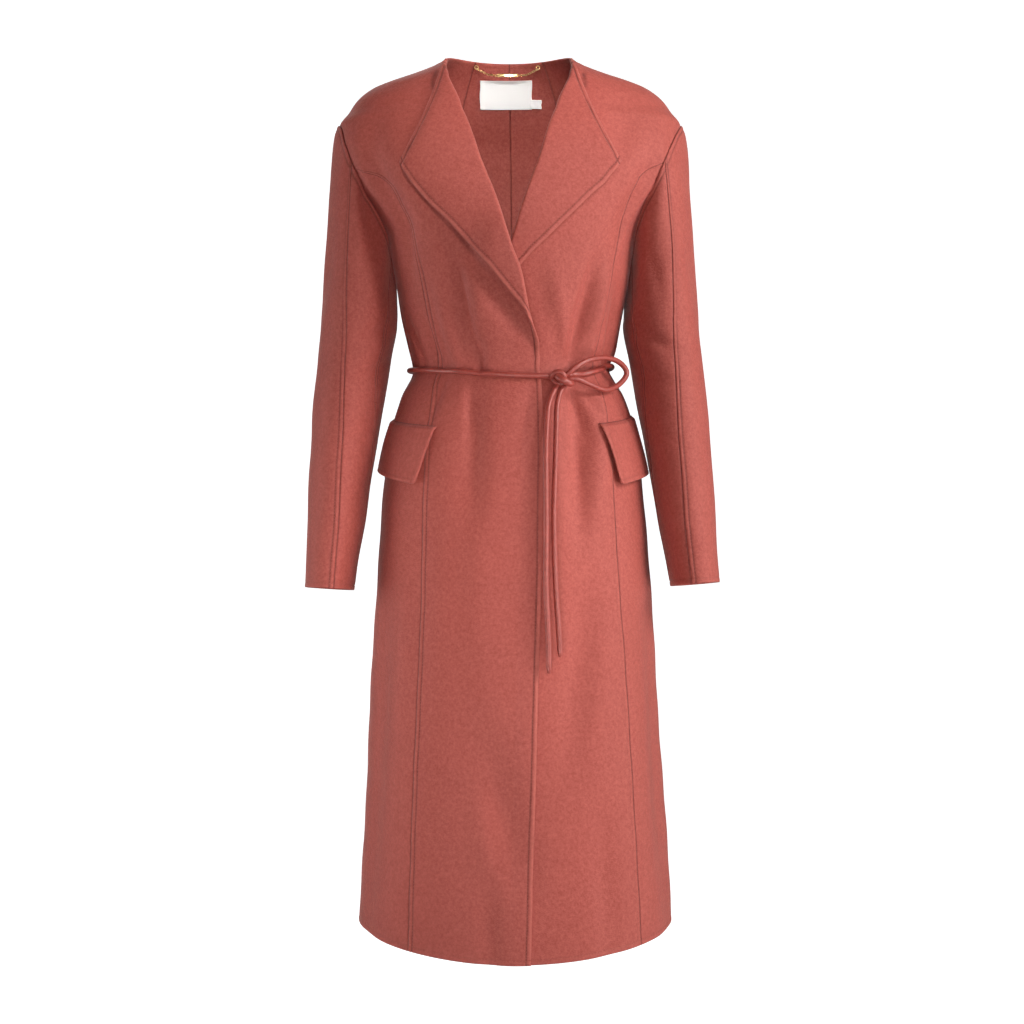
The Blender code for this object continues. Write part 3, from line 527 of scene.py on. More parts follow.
# %% The rings
FRONT_DIP, BACK_DIP = 0.0215, 0.006  # how much lower the hem is in the middle
DIP_FROM, DIP_OVER = -0.85, 0.307  # where the hem's dip starts and the height it grows over
BACK_NECK_RISE = 0.0160
RISE_FROM, RISE_OVER = -0.075, 0.073  # the same for the back of the neck
RISE_REACH, RISE_POWER = 0.8, 2.4  # how soon behind the shoulder seam it is at its full height
TORSO = table("""
z        half_width  front   back    square
-1.200   0.2110      0.1700  0.1700  0.02
-1.157   0.2092      0.1680  0.1680  0.02
-0.950   0.1975      0.1580  0.1600  0.02
-0.750   0.1860      0.1470  0.1510  0.02
-0.610   0.1765      0.1370  0.1430  0.03
-0.540   0.1690      0.1290  0.1350  0.03
-0.490   0.1600      0.1215  0.1250  0.03
-0.455   0.1490      0.1140  0.1150  0.02
-0.420   0.1330      0.1060  0.1020  0.01
-0.385   0.1400      0.1110  0.1040  0.02
-0.340   0.1490      0.1200  0.1090  0.04
-0.290   0.1570      0.1280  0.1140  0.05
-0.240   0.1665      0.1310  0.1190  0.06
-0.209   0.1830      0.1280  0.1200  0.07
-0.178   0.2060      0.1230  0.1195  0.08
-0.146   0.2230      0.1165  0.1170  0.08
-0.118   0.2285      0.1090  0.1120  0.07
-0.0905  0.2288      0.0990  0.1050  0.05
-0.074   0.2172      0.0930  0.0990  0.03
-0.058   0.2060      0.0870  0.0935  0.02
-0.042   0.1860      0.0810  0.0875  0.00
-0.0337  0.1655      0.0780  0.0845  0.00
-0.0256  0.1400      0.0750  0.0815  0.00
-0.0175  0.1170      0.0715  0.0780  0.00
-0.0095  0.0980      0.0680  0.0750  0.00
-0.001   0.0866      0.0640  0.0725  0.00
0.020    0.0790      0.0600  0.0700  0.00
""")
LEAN = table("""
z       x
-1.200  0.0068
-0.900  0.0045
-0.420  0.0020
-0.090  -0.0007
0.020   -0.0034
""")


def ring(turn, z):
    """A place on the torso without its folds."""
    z = np.clip(z, -1.2, 0.02)
    angle = np.radians(turn)
    s, c = np.sin(angle), np.cos(angle)
    square = 1 + follow(TORSO, "square", z) * np.sin(2 * angle) ** 2
    depth = np.where(c >= 0, follow(TORSO, "front", z), follow(TORSO, "back", z))
    x = follow(LEAN, "x", z) + follow(TORSO, "half_width", z) * s * square
    dip = mix(BACK_DIP, FRONT_DIP, c > 0) * c**2 * ease((DIP_FROM - z) / DIP_OVER)
    behind = 1 - (1 - np.clip(-c / RISE_REACH, 0, 1)) ** RISE_POWER
    rise = BACK_NECK_RISE * behind * ease((z - RISE_FROM) / RISE_OVER)
    return np.stack([x, -depth * c * square, z - dip + rise], axis=-1)


def out_of(place, turn, z):
    """The direction out of the surface that place(turn, z) gives."""
    round_it = place(turn + 0.5, z) - place(turn - 0.5, z)
    up_it = place(turn, z + 0.001) - place(turn, z - 0.001)
    normal = np.cross(round_it, up_it)
    return normal / np.linalg.norm(normal, axis=-1, keepdims=True)


def metres_a_degree(turn, z):
    return np.linalg.norm(ring(turn + 0.5, z) - ring(turn - 0.5, z), axis=-1)


def turn_at(x, z, behind=False):
    """The turn of the place on the torso that lies so far across."""
    turn = np.zeros(np.broadcast(x, z).shape)
    for _ in range(6):
        square = 1 + follow(TORSO, "square", z) * np.sin(np.radians(2 * turn)) ** 2
        across = (x - follow(LEAN, "x", z)) / (follow(TORSO, "half_width", z) * square)
        turn = np.degrees(np.arcsin(np.clip(across, -0.999, 0.999)))
    return 180.0 - turn if behind else turn


print("waist", round(float(follow(TORSO, "half_width", -0.42)) * 2, 3), "m across")

# %% [markdown]
# ## Folds and creases
# A fold is a line from one place to another with a width and a height. Large
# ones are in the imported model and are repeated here. Creases are the same thing
# smaller: the drag towards the tied belt, the crumple inside an elbow, the flute
# that falls from a hip. No two are alike, and the sides and back have them too.

# %% Folds of the torso
FOLDS = table("""
turn_1  z_1     turn_2  z_2     width   out
-27.0   -0.290  -18.0   -0.424  0.0100  -0.0125
-18.0   -0.440  -17.0   -0.620  0.0150  -0.0096
-36.0   -0.320  -31.0   -0.425  0.0110  0.0072
-25.0   -0.250  2.0     -0.365  0.0150  -0.0115
-47.0   -0.100  -54.0   -0.300  0.0160  -0.0092
41.0    -0.285  33.0    -0.424  0.0110  -0.0125
50.0    -0.300  45.0    -0.410  0.0110  0.0056
31.0    -0.445  28.0    -0.640  0.0130  -0.0112
46.0    -0.436  39.0    -0.600  0.0150  0.0050
39.0    -0.085  36.0    -0.150  0.0180  -0.0052
60.0    -0.320  66.0    -0.424  0.0120  -0.0080
-14.0   -0.880  3.0     -1.060  0.0190  -0.0080
-10.0   -1.060  -9.0    -1.175  0.0110  -0.0069
31.0    -0.700  20.0    -0.940  0.0190  -0.0075
33.0    -0.990  34.0    -1.170  0.0140  -0.0046
-40.0   -0.620  -42.0   -0.900  0.0220  -0.0040
-62.0   -0.700  -66.0   -1.150  0.0220  -0.0069
70.0    -0.740  72.0    -1.150  0.0220  -0.0069
118.0   -0.330  128.0   -0.430  0.0130  -0.0069
-122.0  -0.310  -130.0  -0.430  0.0130  -0.0075
158.0   -0.450  156.0   -0.640  0.0140  -0.0069
-160.0  -0.455  -157.0  -0.600  0.0140  -0.0069
112.0   -0.640  116.0   -1.150  0.0220  -0.0075
-118.0  -0.700  -114.0  -1.150  0.0220  -0.0075
163.0   -0.780  165.0   -1.150  0.0220  -0.0069
-158.0  -0.740  -162.0  -1.150  0.0220  -0.0069
""")
CREASES = table("""
turn_1  z_1     turn_2  z_2     width   out
30.0    -0.446  36.0    -0.520  0.0060  -0.0048
24.0    -0.452  21.0    -0.560  0.0070  -0.0035
37.0    -0.444  46.0    -0.500  0.0060  -0.0042
36.0    -0.424  49.0    -0.365  0.0070  -0.0038
26.0    -0.424  22.0    -0.350  0.0070  -0.0029
12.0    -0.400  -2.0    -0.340  0.0080  -0.0026
10.0    -0.445  2.0     -0.520  0.0080  -0.0022
-17.0   -0.424  -15.0   -0.380  0.0050  -0.0048
64.0    -0.4150 104.0   -0.4135 0.0100  -0.0050
-22.0   -0.438  -20.0   -0.500  0.0060  -0.0038
-24.0   -0.424  -30.0   -0.370  0.0060  -0.0035
-38.0   -0.434  -40.0   -0.490  0.0060  -0.0042
-43.0   -0.424  -50.0   -0.350  0.0070  -0.0035
-58.0   -0.420  -66.0   -0.350  0.0080  -0.0042
-70.0   -0.440  -76.0   -0.520  0.0070  0.0029
62.0    -0.438  70.0    -0.500  0.0080  -0.0035
78.0    -0.420  84.0    -0.330  0.0090  -0.0042
-84.0   -0.420  -80.0   -0.330  0.0080  -0.0038
-54.0   -0.110  -60.0   -0.230  0.0110  0.0030
47.0    -0.120  54.0    -0.250  0.0120  -0.0046
56.0    -0.140  58.0    -0.270  0.0080  0.0028
-34.0   -0.190  -28.0   -0.280  0.0100  -0.0034
20.0    -0.300  27.0    -0.390  0.0120  0.0042
100.0   -0.430  104.0   -0.520  0.0080  -0.0028
-104.0  -0.432  -110.0  -0.510  0.0080  -0.0030
140.0   -0.400  134.0   -0.310  0.0090  -0.0032
-146.0  -0.400  -140.0  -0.320  0.0090  -0.0034
170.0   -0.410  172.0   -0.350  0.0070  -0.0023
-172.0  -0.440  -170.0  -0.520  0.0080  -0.0025
146.0   -0.110  150.0   -0.280  0.0180  -0.0046
-148.0  -0.120  -154.0  -0.260  0.0170  -0.0044
108.0   -0.150  122.0   -0.270  0.0130  -0.0037
-106.0  -0.140  -124.0  -0.260  0.0130  -0.0041
""")
FOLD_RADIUS = 0.150  # turns degrees into lengths where folds are measured
FOLD_ENDS = (0.12, 0.88)  # a fold is shallow at its ends, but not quite nothing


def push_of(rows, turn, z, radius=FOLD_RADIUS):
    """How far the folds of one table move each place out."""
    metres = np.radians(1.0) * radius
    push = np.zeros(np.broadcast(turn, z).shape)
    for turn_1, z_1, turn_2, z_2, width, out in rows[1]:
        middle = (turn_1 + turn_2) / 2
        around = (turn - middle + 180) % 360 - 180 + middle
        run = np.array([(turn_2 - turn_1) * metres, z_2 - z_1])
        at = np.stack(np.broadcast_arrays((around - turn_1) * metres, z - z_1), axis=-1)
        along = np.clip(at @ run / (run @ run), 0, 1)
        away = np.linalg.norm(at - along[..., None] * run, axis=-1)
        push = push + out * np.exp(-((away / width) ** 2)) * np.sin(np.pi * mix(*FOLD_ENDS, along))
    return push


def handle(turn, z):
    """The slight unevenness that all hanging cloth has."""
    a = np.radians(turn)
    broad = 0.0007 * np.sin(3 * a + 31 * z + 0.7) * np.sin(47 * z - 2 * a)
    return broad + 0.0004 * np.sin(9 * a - 23 * z + 1.9)


def cloth(turn, z, lift=0.0, share=1.0):
    """A place on the torso, so far out from it, with a share of its folds."""
    turn, z, lift = np.broadcast_arrays(*[np.asarray(v, float) for v in (turn, z, lift)])
    quiet = ease((-0.02 - z) / 0.08)
    push = push_of(FOLDS, turn, z) + push_of(CREASES, turn, z) + handle(turn, z) * quiet
    return ring(turn, z) + out_of(ring, turn, z) * (push * share + lift)[..., None]


print("folds", len(FOLDS[1]), "creases", len(CREASES[1]))

# %% [markdown]
# ## Where the seams run
# Princess seams shape the fronts and the back. They meet the armholes in a
# sharp notch, where the seam down the front of each sleeve starts too. Every
# seam is a table of heights and degrees.

# %% Seam tables
FRONT_ARMHOLE = table("""
z        right  left
-0.0905  90.0   90.0
-0.0980  77.0   78.0
-0.1155  70.0   66.0
-0.1350  65.0   60.0
-0.1570  63.5   57.5
-0.1880  68.5   61.0
-0.2200  75.5   69.0
-0.2500  82.0   79.0
-0.2750  86.5   85.5
-0.3000  90.0   90.0
""")
BACK_ARMHOLE = table("""
z        turn
-0.0905  90.0
-0.0980  101.0
-0.1155  110.0
-0.1350  116.0
-0.1570  119.0
-0.1880  119.0
-0.2200  115.0
-0.2500  106.0
-0.2750  98.0
-0.3000  90.0
""")
NOTCH = {-1: -0.1570, 1: -0.1480}
SHOULDER_TIP = -0.0905
HEM = -1.1570
FRONT_TOP, BACK_TOP = -0.0098, -0.0020  # the highest rows of the fronts and of the backs
FRONT_PRINCESS = table("""
z        right  left
-0.1480  66.0   58.0
-0.1570  63.5   53.5
-0.1640  56.5   50.5
-0.1740  51.0   48.5
-0.1880  48.0   49.0
-0.2140  50.5   52.0
-0.2500  50.0   54.5
-0.3000  47.0   52.5
-0.3450  46.0   51.0
-0.4260  46.5   50.5
-0.4600  43.0   48.5
-0.5000  41.2   46.8
-0.6000  40.0   46.0
-0.8800  40.0   48.3
-1.1570  40.2   49.2
""")
BACK_PRINCESS = table("""
z        x
-0.0020  0.0465
-0.0300  0.0585
-0.0550  0.0675
-0.0900  0.0765
-0.1400  0.0835
-0.2000  0.0850
-0.3000  0.0790
-0.4150  0.0700
-0.6000  0.0950
-1.1570  0.1220
""")


def column_of(side):
    return "left" if side > 0 else "right"


def front_outer(side, z):
    """Turn of the shoulder seam, the armhole or the princess seam."""
    seam = np.where(
        z < NOTCH[side],
        follow(FRONT_PRINCESS, column_of(side), z),
        follow(FRONT_ARMHOLE, column_of(side), z),
    )
    return np.where(z >= SHOULDER_TIP, 90.0, seam)


def back_princess(z):
    return turn_at(follow(LEAN, "x", z) + follow(BACK_PRINCESS, "x", z), z, behind=True)


# %% [markdown]
# ## How the lapels turn over
# Each front and its lapel are one piece of cloth. Beyond the roll line it goes
# round a small arc and lies back on itself. Low down it turns over less and
# less, until it is a plain front edge. The tables say where the roll line is,
# where the edge comes to lie, and how far the cloth has turned over there.

# %% Lapel tables
LAPEL_RIGHT = table("""
z        roll   edge   edge_z   swing
-0.0020  72.0   37.6   -0.1545  180
-0.0080  59.0   37.5   -0.1560  180
-0.0150  48.0   37.4   -0.1580  180
-0.0380  26.6   37.1   -0.1650  180
-0.0735  17.5   36.3   -0.1760  180
-0.1170  12.6   35.0   -0.1920  180
-0.1570  9.8    32.5   -0.2130  180
-0.1980  6.5    27.6   -0.2340  180
-0.2363  3.2    19.6   -0.2640  180
-0.2712  -0.5   10.0   -0.2940  180
-0.2983  -4.2   4.0    -0.3150  180
-0.3290  -6.7   -3.0   -0.3378  178
-0.3410  -7.6   -6.0   -0.3456  165
-0.3520  -8.6   -7.4   -0.3560  140
-0.3630  -9.7   -8.6   -0.3670  105
-0.3760  -11.0  -9.8   -0.3800  62
-0.3900  -12.2  -10.6  -0.3940  26
-0.4050  -12.9  -10.9  -0.4090  0
""")
LAPEL_LEFT = table("""
z        roll   edge   edge_z   swing
-0.0020  71.0   37.2   -0.1530  180
-0.0080  58.0   37.0   -0.1550  180
-0.0150  47.0   36.8   -0.1575  180
-0.0380  25.9   36.2   -0.1640  180
-0.0735  16.5   35.0   -0.1720  180
-0.1170  11.6   33.4   -0.1860  180
-0.1570  9.0    30.8   -0.1990  180
-0.1980  5.7    26.0   -0.2230  180
-0.2363  2.2    15.0   -0.2600  180
-0.2530  0.6    10.0   -0.2740  180
-0.2712  -2.0   5.0    -0.2900  180
-0.2983  -5.2   -1.0   -0.3080  180
-0.3290  -8.2   -5.2   -0.3360  165
-0.3410  -9.2   -7.2   -0.3450  130
-0.3520  -10.2  -8.2   -0.3560  110
-0.3630  -11.2  -9.2   -0.3670  75
-0.3760  -12.0  -10.0  -0.3800  40
-0.3900  -12.6  -10.6  -0.3940  16
-0.4050  -12.9  -10.9  -0.4090  0
""")
FRONT_EDGE = table("""
z        turn
-0.4050  -14.7
-0.4300  -14.7
-0.4650  -14.0
-0.5940  -12.0
-0.6930  -11.0
-0.7710  -9.9
-0.8340  -9.0
-0.9350  -7.8
-1.0470  -6.2
-1.1570  -5.0
""")
STRIP = table("""
z        right   left
-0.4050  0.0080  0.0080
-0.3760  0.0085  0.0062
-0.3520  0.0120  0.0065
-0.3410  0.0172  0.0072
-0.3290  0.0210  0.0140
""")
OVERLAP = table("""
z        lift    from   width
-1.1570  0.0040  8.0    10.0
-0.5500  0.0040  15.0   12.0
-0.4500  0.0042  19.0   13.0
-0.4050  0.0062  19.0   14.0
-0.3800  0.0092  18.0   15.0
-0.3500  0.0116  16.5   15.0
-0.2980  0.0116  11.5   15.0
-0.2600  0.0108  6.5    14.0
-0.2400  0.0070  5.0    13.0
-0.2150  0.0000  4.0    13.0
""")
WALL = 0.0022
ROLL, ROLL_AT_NECK = 0.0034, 0.0015  # radius of the roll
LAPEL_BOW = 0.0060  # how far the lapel's middle lies out towards the sleeve
LAPEL_REST, REST_AT_NECK = 0.0074, 0.0032  # how far off the front it rests
NECK_HEIGHT = 0.06  # both change from neck to lapel over this height
TURNED = -0.4050  # below this height the front's edge is flat
STRIP_TOP = -0.3291  # between the two heights the lapel is a strip, as wide as STRIP says
WIDE_STRIP = 0.050  # the stretch by the front's edge that gets close columns


def layer(side, turn, z):
    """How far a front lies out, over what it crosses."""
    if side > 0:
        return np.zeros(np.broadcast(turn, z).shape)
    reach = turn + follow(OVERLAP, "from", z) + follow(OVERLAP, "width", z)
    return follow(OVERLAP, "lift", z) * ease(reach / follow(OVERLAP, "width", z))


# %% The lapel as a function of the distance beyond its roll line
def lapel_at(side, z):
    """For each height: what beyond_roll needs to know."""
    rows = LAPEL_LEFT if side > 0 else LAPEL_RIGHT
    folding = z >= TURNED
    edge = np.where(folding, follow(rows, "edge", z), follow(FRONT_EDGE, "turn", z))
    edge_z = np.where(folding, follow(rows, "edge_z", z), z)
    scale = metres_a_degree(0.0, z)
    radius = mix(ROLL_AT_NECK, ROLL, ease(-z / NECK_HEIGHT))
    flat_strip = mix(STRIP[1][0, 1], WIDE_STRIP, ease((TURNED - z) / 0.12))
    roll = np.where(folding, follow(rows, "roll", z) + (radius + WALL / 2) / scale, edge + flat_strip / scale)
    swing = np.radians(np.where(folding, follow(rows, "swing", z), 0.0))
    start, end = ring(roll * side, z), ring(edge * side, edge_z)
    straight = np.linalg.norm(end - start, axis=-1)
    strip = np.where(folding, follow(STRIP, column_of(side), z), flat_strip)
    width = np.where(z > STRIP_TOP, np.pi * radius + straight, strip)
    bend = np.minimum(swing, width / radius)
    return {
        "z": z, "edge_z": edge_z, "roll": roll, "start": start, "end": end, "straight": straight,
        "scale": scale, "radius": radius, "swing": swing, "bend": bend, "width": width,
    }


def beyond_roll(side, at, distance):
    """Turn, height and lift of the cloth so far beyond the roll line."""
    radius, bend = at["radius"], at["bend"]
    arc = radius * bend
    turned = np.minimum(distance, arc) / radius
    rest = np.maximum(distance - arc, 0.0)
    forward = radius * np.sin(turned) + rest * np.cos(bend)
    lift = radius * (1 - np.cos(turned)) + rest * np.sin(bend)
    back = np.maximum(-forward, 0.0) / np.maximum(at["straight"], 1e-6)
    rest_here = mix(REST_AT_NECK, LAPEL_REST, ease(-at["z"] / NECK_HEIGHT))
    lift = mix(lift, rest_here, (at["swing"] >= np.pi - 0.001) * ease(back))
    height = mix(at["z"], at["edge_z"], back)
    bow = LAPEL_BOW * np.sin(np.pi * np.clip(back, 0, 1)) * ease(1 + at["z"] / 0.07)
    x = mix(at["start"][..., 0], at["end"][..., 0], back) - side * bow
    rolling = (at["roll"] - np.maximum(forward, 0.0) / at["scale"]) * side
    turn = np.where(back > 0, turn_at(x, height), rolling)
    return turn, height, lift


# %% [markdown]
# ## Felled seams and edges
# Double-faced cloth is split along its edge, folded in and sewn by hand, so a
# seam is a flat band about six millimetres wide with a groove on each side of
# it, on both faces. Here that is done with thickness: Solidify reads a vertex
# group, and a profile says how thick the cloth is at each distance from a seam.
# A second profile paints shade into the groove and a highlight onto the raised band.

# %% Profiles across a seam
MARKS = np.array([0.0, 0.8, 2.0, 3.5, 5.0, 6.0, 7.0, 8.0, 10.0]) / 1000  # metres from a seam or an edge
GROOVE, FAR_GROOVE = 5, -6  # the sixth of MARKS is the groove of a band, from either side
THICKEST, THINNEST = 0.0031, 0.0011
PROFILES = {  # metres from the seam, thickness in metres, painted shade (above 0) or highlight (below 0)
    "band": table("""
        at      wall    groove
        0.0000  0.0012  0.75
        0.0008  0.0024  0.35
        0.0020  0.0030  -0.20
        0.0035  0.0031  -0.25
        0.0050  0.0026  0.10
        0.0060  0.0011  0.80
        0.0070  0.0019  0.30
        0.0080  0.0022  0.00
        """),
    "plain": table("""
        at      wall    groove
        0.0000  0.0012  0.75
        0.0008  0.0019  0.30
        0.0020  0.0022  0.00
        0.0100  0.0022  0.00
        """),
    "edge": table("""
        at      wall    groove
        0.0000  0.0013  -0.30
        0.0008  0.0027  -0.75
        0.0020  0.0031  -0.75
        0.0035  0.0031  -0.45
        0.0050  0.0026  0.10
        0.0060  0.0011  0.80
        0.0070  0.0019  0.30
        0.0080  0.0022  0.00
        """),
    "fine": table("""
        at      wall    groove
        0.0000  0.0012  0.80
        0.0008  0.0020  0.30
        0.0020  0.0025  -0.15
        0.0035  0.0025  -0.10
        0.0050  0.0024  0.00
        0.0060  0.0021  0.10
        0.0080  0.0022  0.00
        """),
    "flap": table("""
        at      wall    groove
        0.0000  0.0014  -0.15
        0.0008  0.0027  -0.35
        0.0020  0.0029  -0.35
        0.0035  0.0029  -0.20
        0.0050  0.0026  0.00
        0.0060  0.0019  0.22
        0.0070  0.0021  0.05
        0.0080  0.0022  0.00
        """),
    "hem": table("""
        at      wall    groove
        0.0000  0.0014  0.00
        0.0008  0.0025  -0.20
        0.0020  0.0027  -0.20
        0.0035  0.0027  -0.10
        0.0050  0.0025  0.00
        0.0060  0.0019  0.15
        0.0080  0.0022  0.00
        """),
}


IN_GROOVE = 0.05  # above this the value is painted shade in a real groove
FAR = 0.1  # a distance at which no profile shows


def across(kind, distance):
    """Thickness and groove at each distance from an edge of that kind."""
    at, wall, groove = PROFILES[kind][1].T
    return [np.interp(distance, at, column) for column in (wall, groove)]


def together(*profiles):
    """Where edges meet, a groove wins, and then the thickest wall."""
    walls = np.stack(np.broadcast_arrays(*[p[0] for p in profiles]))
    grooves = np.stack(np.broadcast_arrays(*[p[1] for p in profiles]))
    thin = walls.min(axis=0)
    wall = np.where(thin < WALL - 0.0001, thin, walls.max(axis=0))
    deepest = grooves.max(axis=0)
    return wall, np.where(deepest > IN_GROOVE, deepest, grooves.min(axis=0))


# %% Turns a grid of places into a piece of cloth
def lengths(places, axis):
    """How far along its row or column each place of a grid lies."""
    step = np.linalg.norm(np.diff(places, axis=axis), axis=-1)
    start = np.zeros_like(np.take(step, [0], axis=axis))
    return np.concatenate([start, np.cumsum(step, axis=axis)], axis=axis)


pieces, woven = {}, {}


def sew(name, places, wall, groove, finish=wool):
    """A piece of cloth through a grid of places, replacing its solid. The grid
    is Blender's own, and each of its points is moved onto the coat."""
    rows, columns, _ = places.shape
    made = bmesh.new()
    bmesh.ops.create_grid(made, x_segments=columns - 1, y_segments=rows - 1, size=0.5)
    flat = np.array([vert.co for vert in made.verts])
    row = np.rint((flat[:, 1] + 0.5) * (rows - 1)).astype(int)
    column = np.rint((flat[:, 0] + 0.5) * (columns - 1)).astype(int)
    for vert, place in zip(made.verts, places[row, column]):
        vert.co = place
    thing = meshed(f"{name}_cloth", made, finish)
    mesh = thing.data
    corner = np.zeros(len(mesh.loops), int)
    mesh.loops.foreach_get("vertex_index", corner)
    uv = np.stack([lengths(places, 1)[row, column], -lengths(places, 0)[row, column]], axis=-1)
    mesh.uv_layers.new(name="cloth").uv.foreach_set("vector", uv[corner].ravel())
    pressed = mesh.attributes.new("groove", "FLOAT", "POINT")
    pressed.data.foreach_set("value", groove[row, column].astype(np.float32))
    weight = np.rint((wall[row, column] - THINNEST) / (THICKEST - THINNEST) * 100).astype(int)
    held = thing.vertex_groups.new(name="wall")
    for level in np.unique(weight):
        held.add(np.flatnonzero(weight == level).tolist(), level / 100, "REPLACE")
    shell = thing.modifiers.new("wall", "SOLIDIFY")
    shell.thickness = THICKEST
    shell.offset = 0.0
    shell.vertex_group = "wall"
    shell.thickness_vertex_group = THINNEST / THICKEST
    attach(thing, "coat")
    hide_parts(name)
    pieces[name] = thing
    woven[name] = places, wall
    return thing


# %% Rows and columns
def steps(*stretches):
    """Heights from the top down: (from, to, about how far apart), ..."""
    parts = [
        np.linspace(top, low, max(2, round((top - low) / apart) + 1))[:-1]
        for top, low, apart in stretches
    ]
    return np.concatenate(parts + [[stretches[-1][1]]])


def rows_from(top):
    """The heights of a torso panel's rows, closer together at its ends."""
    rows = steps(
        (BACK_TOP, -0.0200, 0.0009), (-0.0200, -0.0500, 0.0016), (-0.0500, -0.4200, 0.0030),
        (-0.4200, -0.6000, 0.0050), (-0.6000, HEM + 0.0100, 0.0085), (HEM + 0.0100, HEM + 0.0080, 0.0020),
        (HEM + 0.0080, HEM, 0.0010),
    )
    return np.concatenate([[top], rows[rows < top - 0.0004]])[:, None]


MOST_MARKED = 0.42  # the share of a narrow panel that each seam's marks may take up


def between(near, far, near_scale, far_scale, middle):
    """Angles across a panel: close to each seam at set distances from it, and
    evenly in between. The scales are metres a degree at the two seams."""
    marks = len(MARKS)
    share = np.concatenate([np.zeros(marks), np.linspace(0, 1, middle + 2)[1:-1], np.ones(marks)])
    from_near = np.concatenate([MARKS, np.full(middle + marks, MARKS[-1])])
    from_far = from_near[::-1]
    way = np.sign(far - near)
    room = abs(far - near) * (near_scale + far_scale) / 2
    fit = np.minimum(1.0, MOST_MARKED * room / MARKS[-1])
    return mix(near + way * from_near * fit / near_scale, far - way * from_far * fit / far_scale, share)


print("rows in a front", len(rows_from(FRONT_TOP)))

# %% [markdown]
# ## The fronts
# Columns run from the outer seam to the roll line, round the roll, across the
# lapel to its edge. The lapel's own top edge is the first row, so the distance
# to it is measured in space. The band that shows on the front lies on the front
# side of the princess seam.

# %% Make both fronts
BODY_COLUMNS, ROLL_COLUMNS, LAPEL_COLUMNS = 30, 14, 20
JUST_UNDER = 0.0001  # two rows this far apart make a sharp corner in the seam
CLOSER_TO_ROLL = 1.35  # above 1, the body's columns crowd towards the roll
SPANNING = 0.75  # how much of the folds below it a lapel that lies over them leaves out


def front(side):
    corners = [NOTCH[side], NOTCH[side] - JUST_UNDER, SHOULDER_TIP, SHOULDER_TIP - JUST_UNDER]
    z = np.sort(np.append(rows_from(FRONT_TOP), corners))[::-1, None]
    at = lapel_at(side, z)
    outer = front_outer(side, z)
    scale = metres_a_degree(outer * side, z)
    near = outer - MARKS / scale
    share = 1 - (1 - np.linspace(0, 1, BODY_COLUMNS + 1)[1:]) ** CLOSER_TO_ROLL
    body_turn = np.concatenate([near, mix(near[:, -1:], at["roll"], share)], axis=1) * side
    body = cloth(body_turn, z + 0 * body_turn, layer(side, body_turn, z))
    # The roll's columns take up the arc, and at least 45% of a strip, but at most 55% of any width.
    bent = np.maximum(at["radius"] * at["bend"], 0.45 * at["width"] * (z < STRIP_TOP))
    bent = np.minimum(bent, 0.55 * at["width"])
    rest = at["width"] - bent
    fit = np.minimum(1.0, 0.92 * rest / MARKS[-1])
    round_it = bent * np.linspace(0, 1, ROLL_COLUMNS + 1)[1:]
    over = bent + (rest - MARKS[-1] * fit) * np.linspace(0, 1, LAPEL_COLUMNS + 1)[1:-1]
    edge = at["width"] - MARKS[::-1] * fit
    distance = np.concatenate([round_it, over, edge], axis=1)
    turn, height, lift = beyond_roll(side, at, distance)
    spans = ease((at["swing"] - 0.5) / 1.5) * ease((distance - bent) / 0.03)
    lapel = cloth(turn, height, layer(side, turn, height) + lift, 1 - SPANNING * spans)
    return np.concatenate([body, lapel], axis=1), z, body_turn.shape[1]


DARTS = {  # x and z of both ends
    -1: [(-0.0980, -0.0300), (-0.1035, -0.0550)],
    1: [(0.0955, -0.0340), (0.0957, -0.0520)],
}
DART_WIDTH, DART_DEPTH = 0.0026, 0.0009
CROWN_WIDTH, CROWN_HIGHLIGHT = 0.0020, 0.55  # the roll's crown gets a painted highlight


def dart_at(side, places):
    """How near each place is to the short dart beside the neck, seen from in
    front: 1 on it."""
    top, tip = np.array(DARTS[side])
    at = places[..., [0, 2]] - top
    along = np.clip(at @ (tip - top) / ((tip - top) @ (tip - top)), 0, 1)
    return np.exp(-(np.linalg.norm(at - along[..., None] * (tip - top), axis=-1) / DART_WIDTH) ** 2)


def from_line(places, line):
    """The distance of each place from the nearest point of a line."""
    apart = np.linalg.norm(places[:, :, None, :] - line[None, None, :, :], axis=-1)
    return apart.min(axis=2)


for side in (-1, 1):
    word = column_of(side)
    places, z, body_columns = front(side)
    along = lengths(places, 1)
    band = across("fine" if side > 0 else "band", along)
    seam = [np.where(z < NOTCH[side], a, b) for a, b in zip(band, across("plain", along))]
    edge = across("edge", along[:, -1:] - along)
    top = np.full(along.shape, FAR)
    near_top = z[:, 0] > -FAR
    top[near_top, body_columns:] = from_line(places[near_top, body_columns:], places[0, body_columns:])
    top[near_top, :body_columns] = lengths(places, 0)[near_top, :body_columns]
    hem = lengths(places, 0)[-1:] - lengths(places, 0)
    wall, groove = together(seam, edge, across("edge", top), across("hem", hem))
    dart = dart_at(side, places) * (np.arange(places.shape[1]) < body_columns)
    # A painted highlight along the crown of the roll, where the cloth is convex.
    crown = body_columns + ROLL_COLUMNS // 2
    from_crown = (along - along[:, crown : crown + 1]) / CROWN_WIDTH
    crown_highlight = CROWN_HIGHLIGHT * np.exp(-(from_crown**2)) * ease((z - TURNED) / 0.03)
    groove = np.where(groove > IN_GROOVE, groove, groove - crown_highlight)
    # Painted shade along the dart.
    dart_shade = 0.8 * dart - (dart < IN_GROOVE)
    sew(f"front_{word}", places, wall - DART_DEPTH * dart, np.maximum(groove, dart_shade))
    print(f"front_{word}", places.shape[:2])

# %% [markdown]
# ## Side and back panels
# Each of these is the part of the torso between two seams, so one function
# makes all of them from two seam lines. What differs is which of its edges
# carries the band. The backs reach higher than the fronts, so their top rows
# sink towards the shoulder seam, where both have to meet.

# %% Make the panels between two seams
SINK_ROUND, SINK_DOWN = 16.0, 0.0480  # degrees behind the shoulder seam, and height


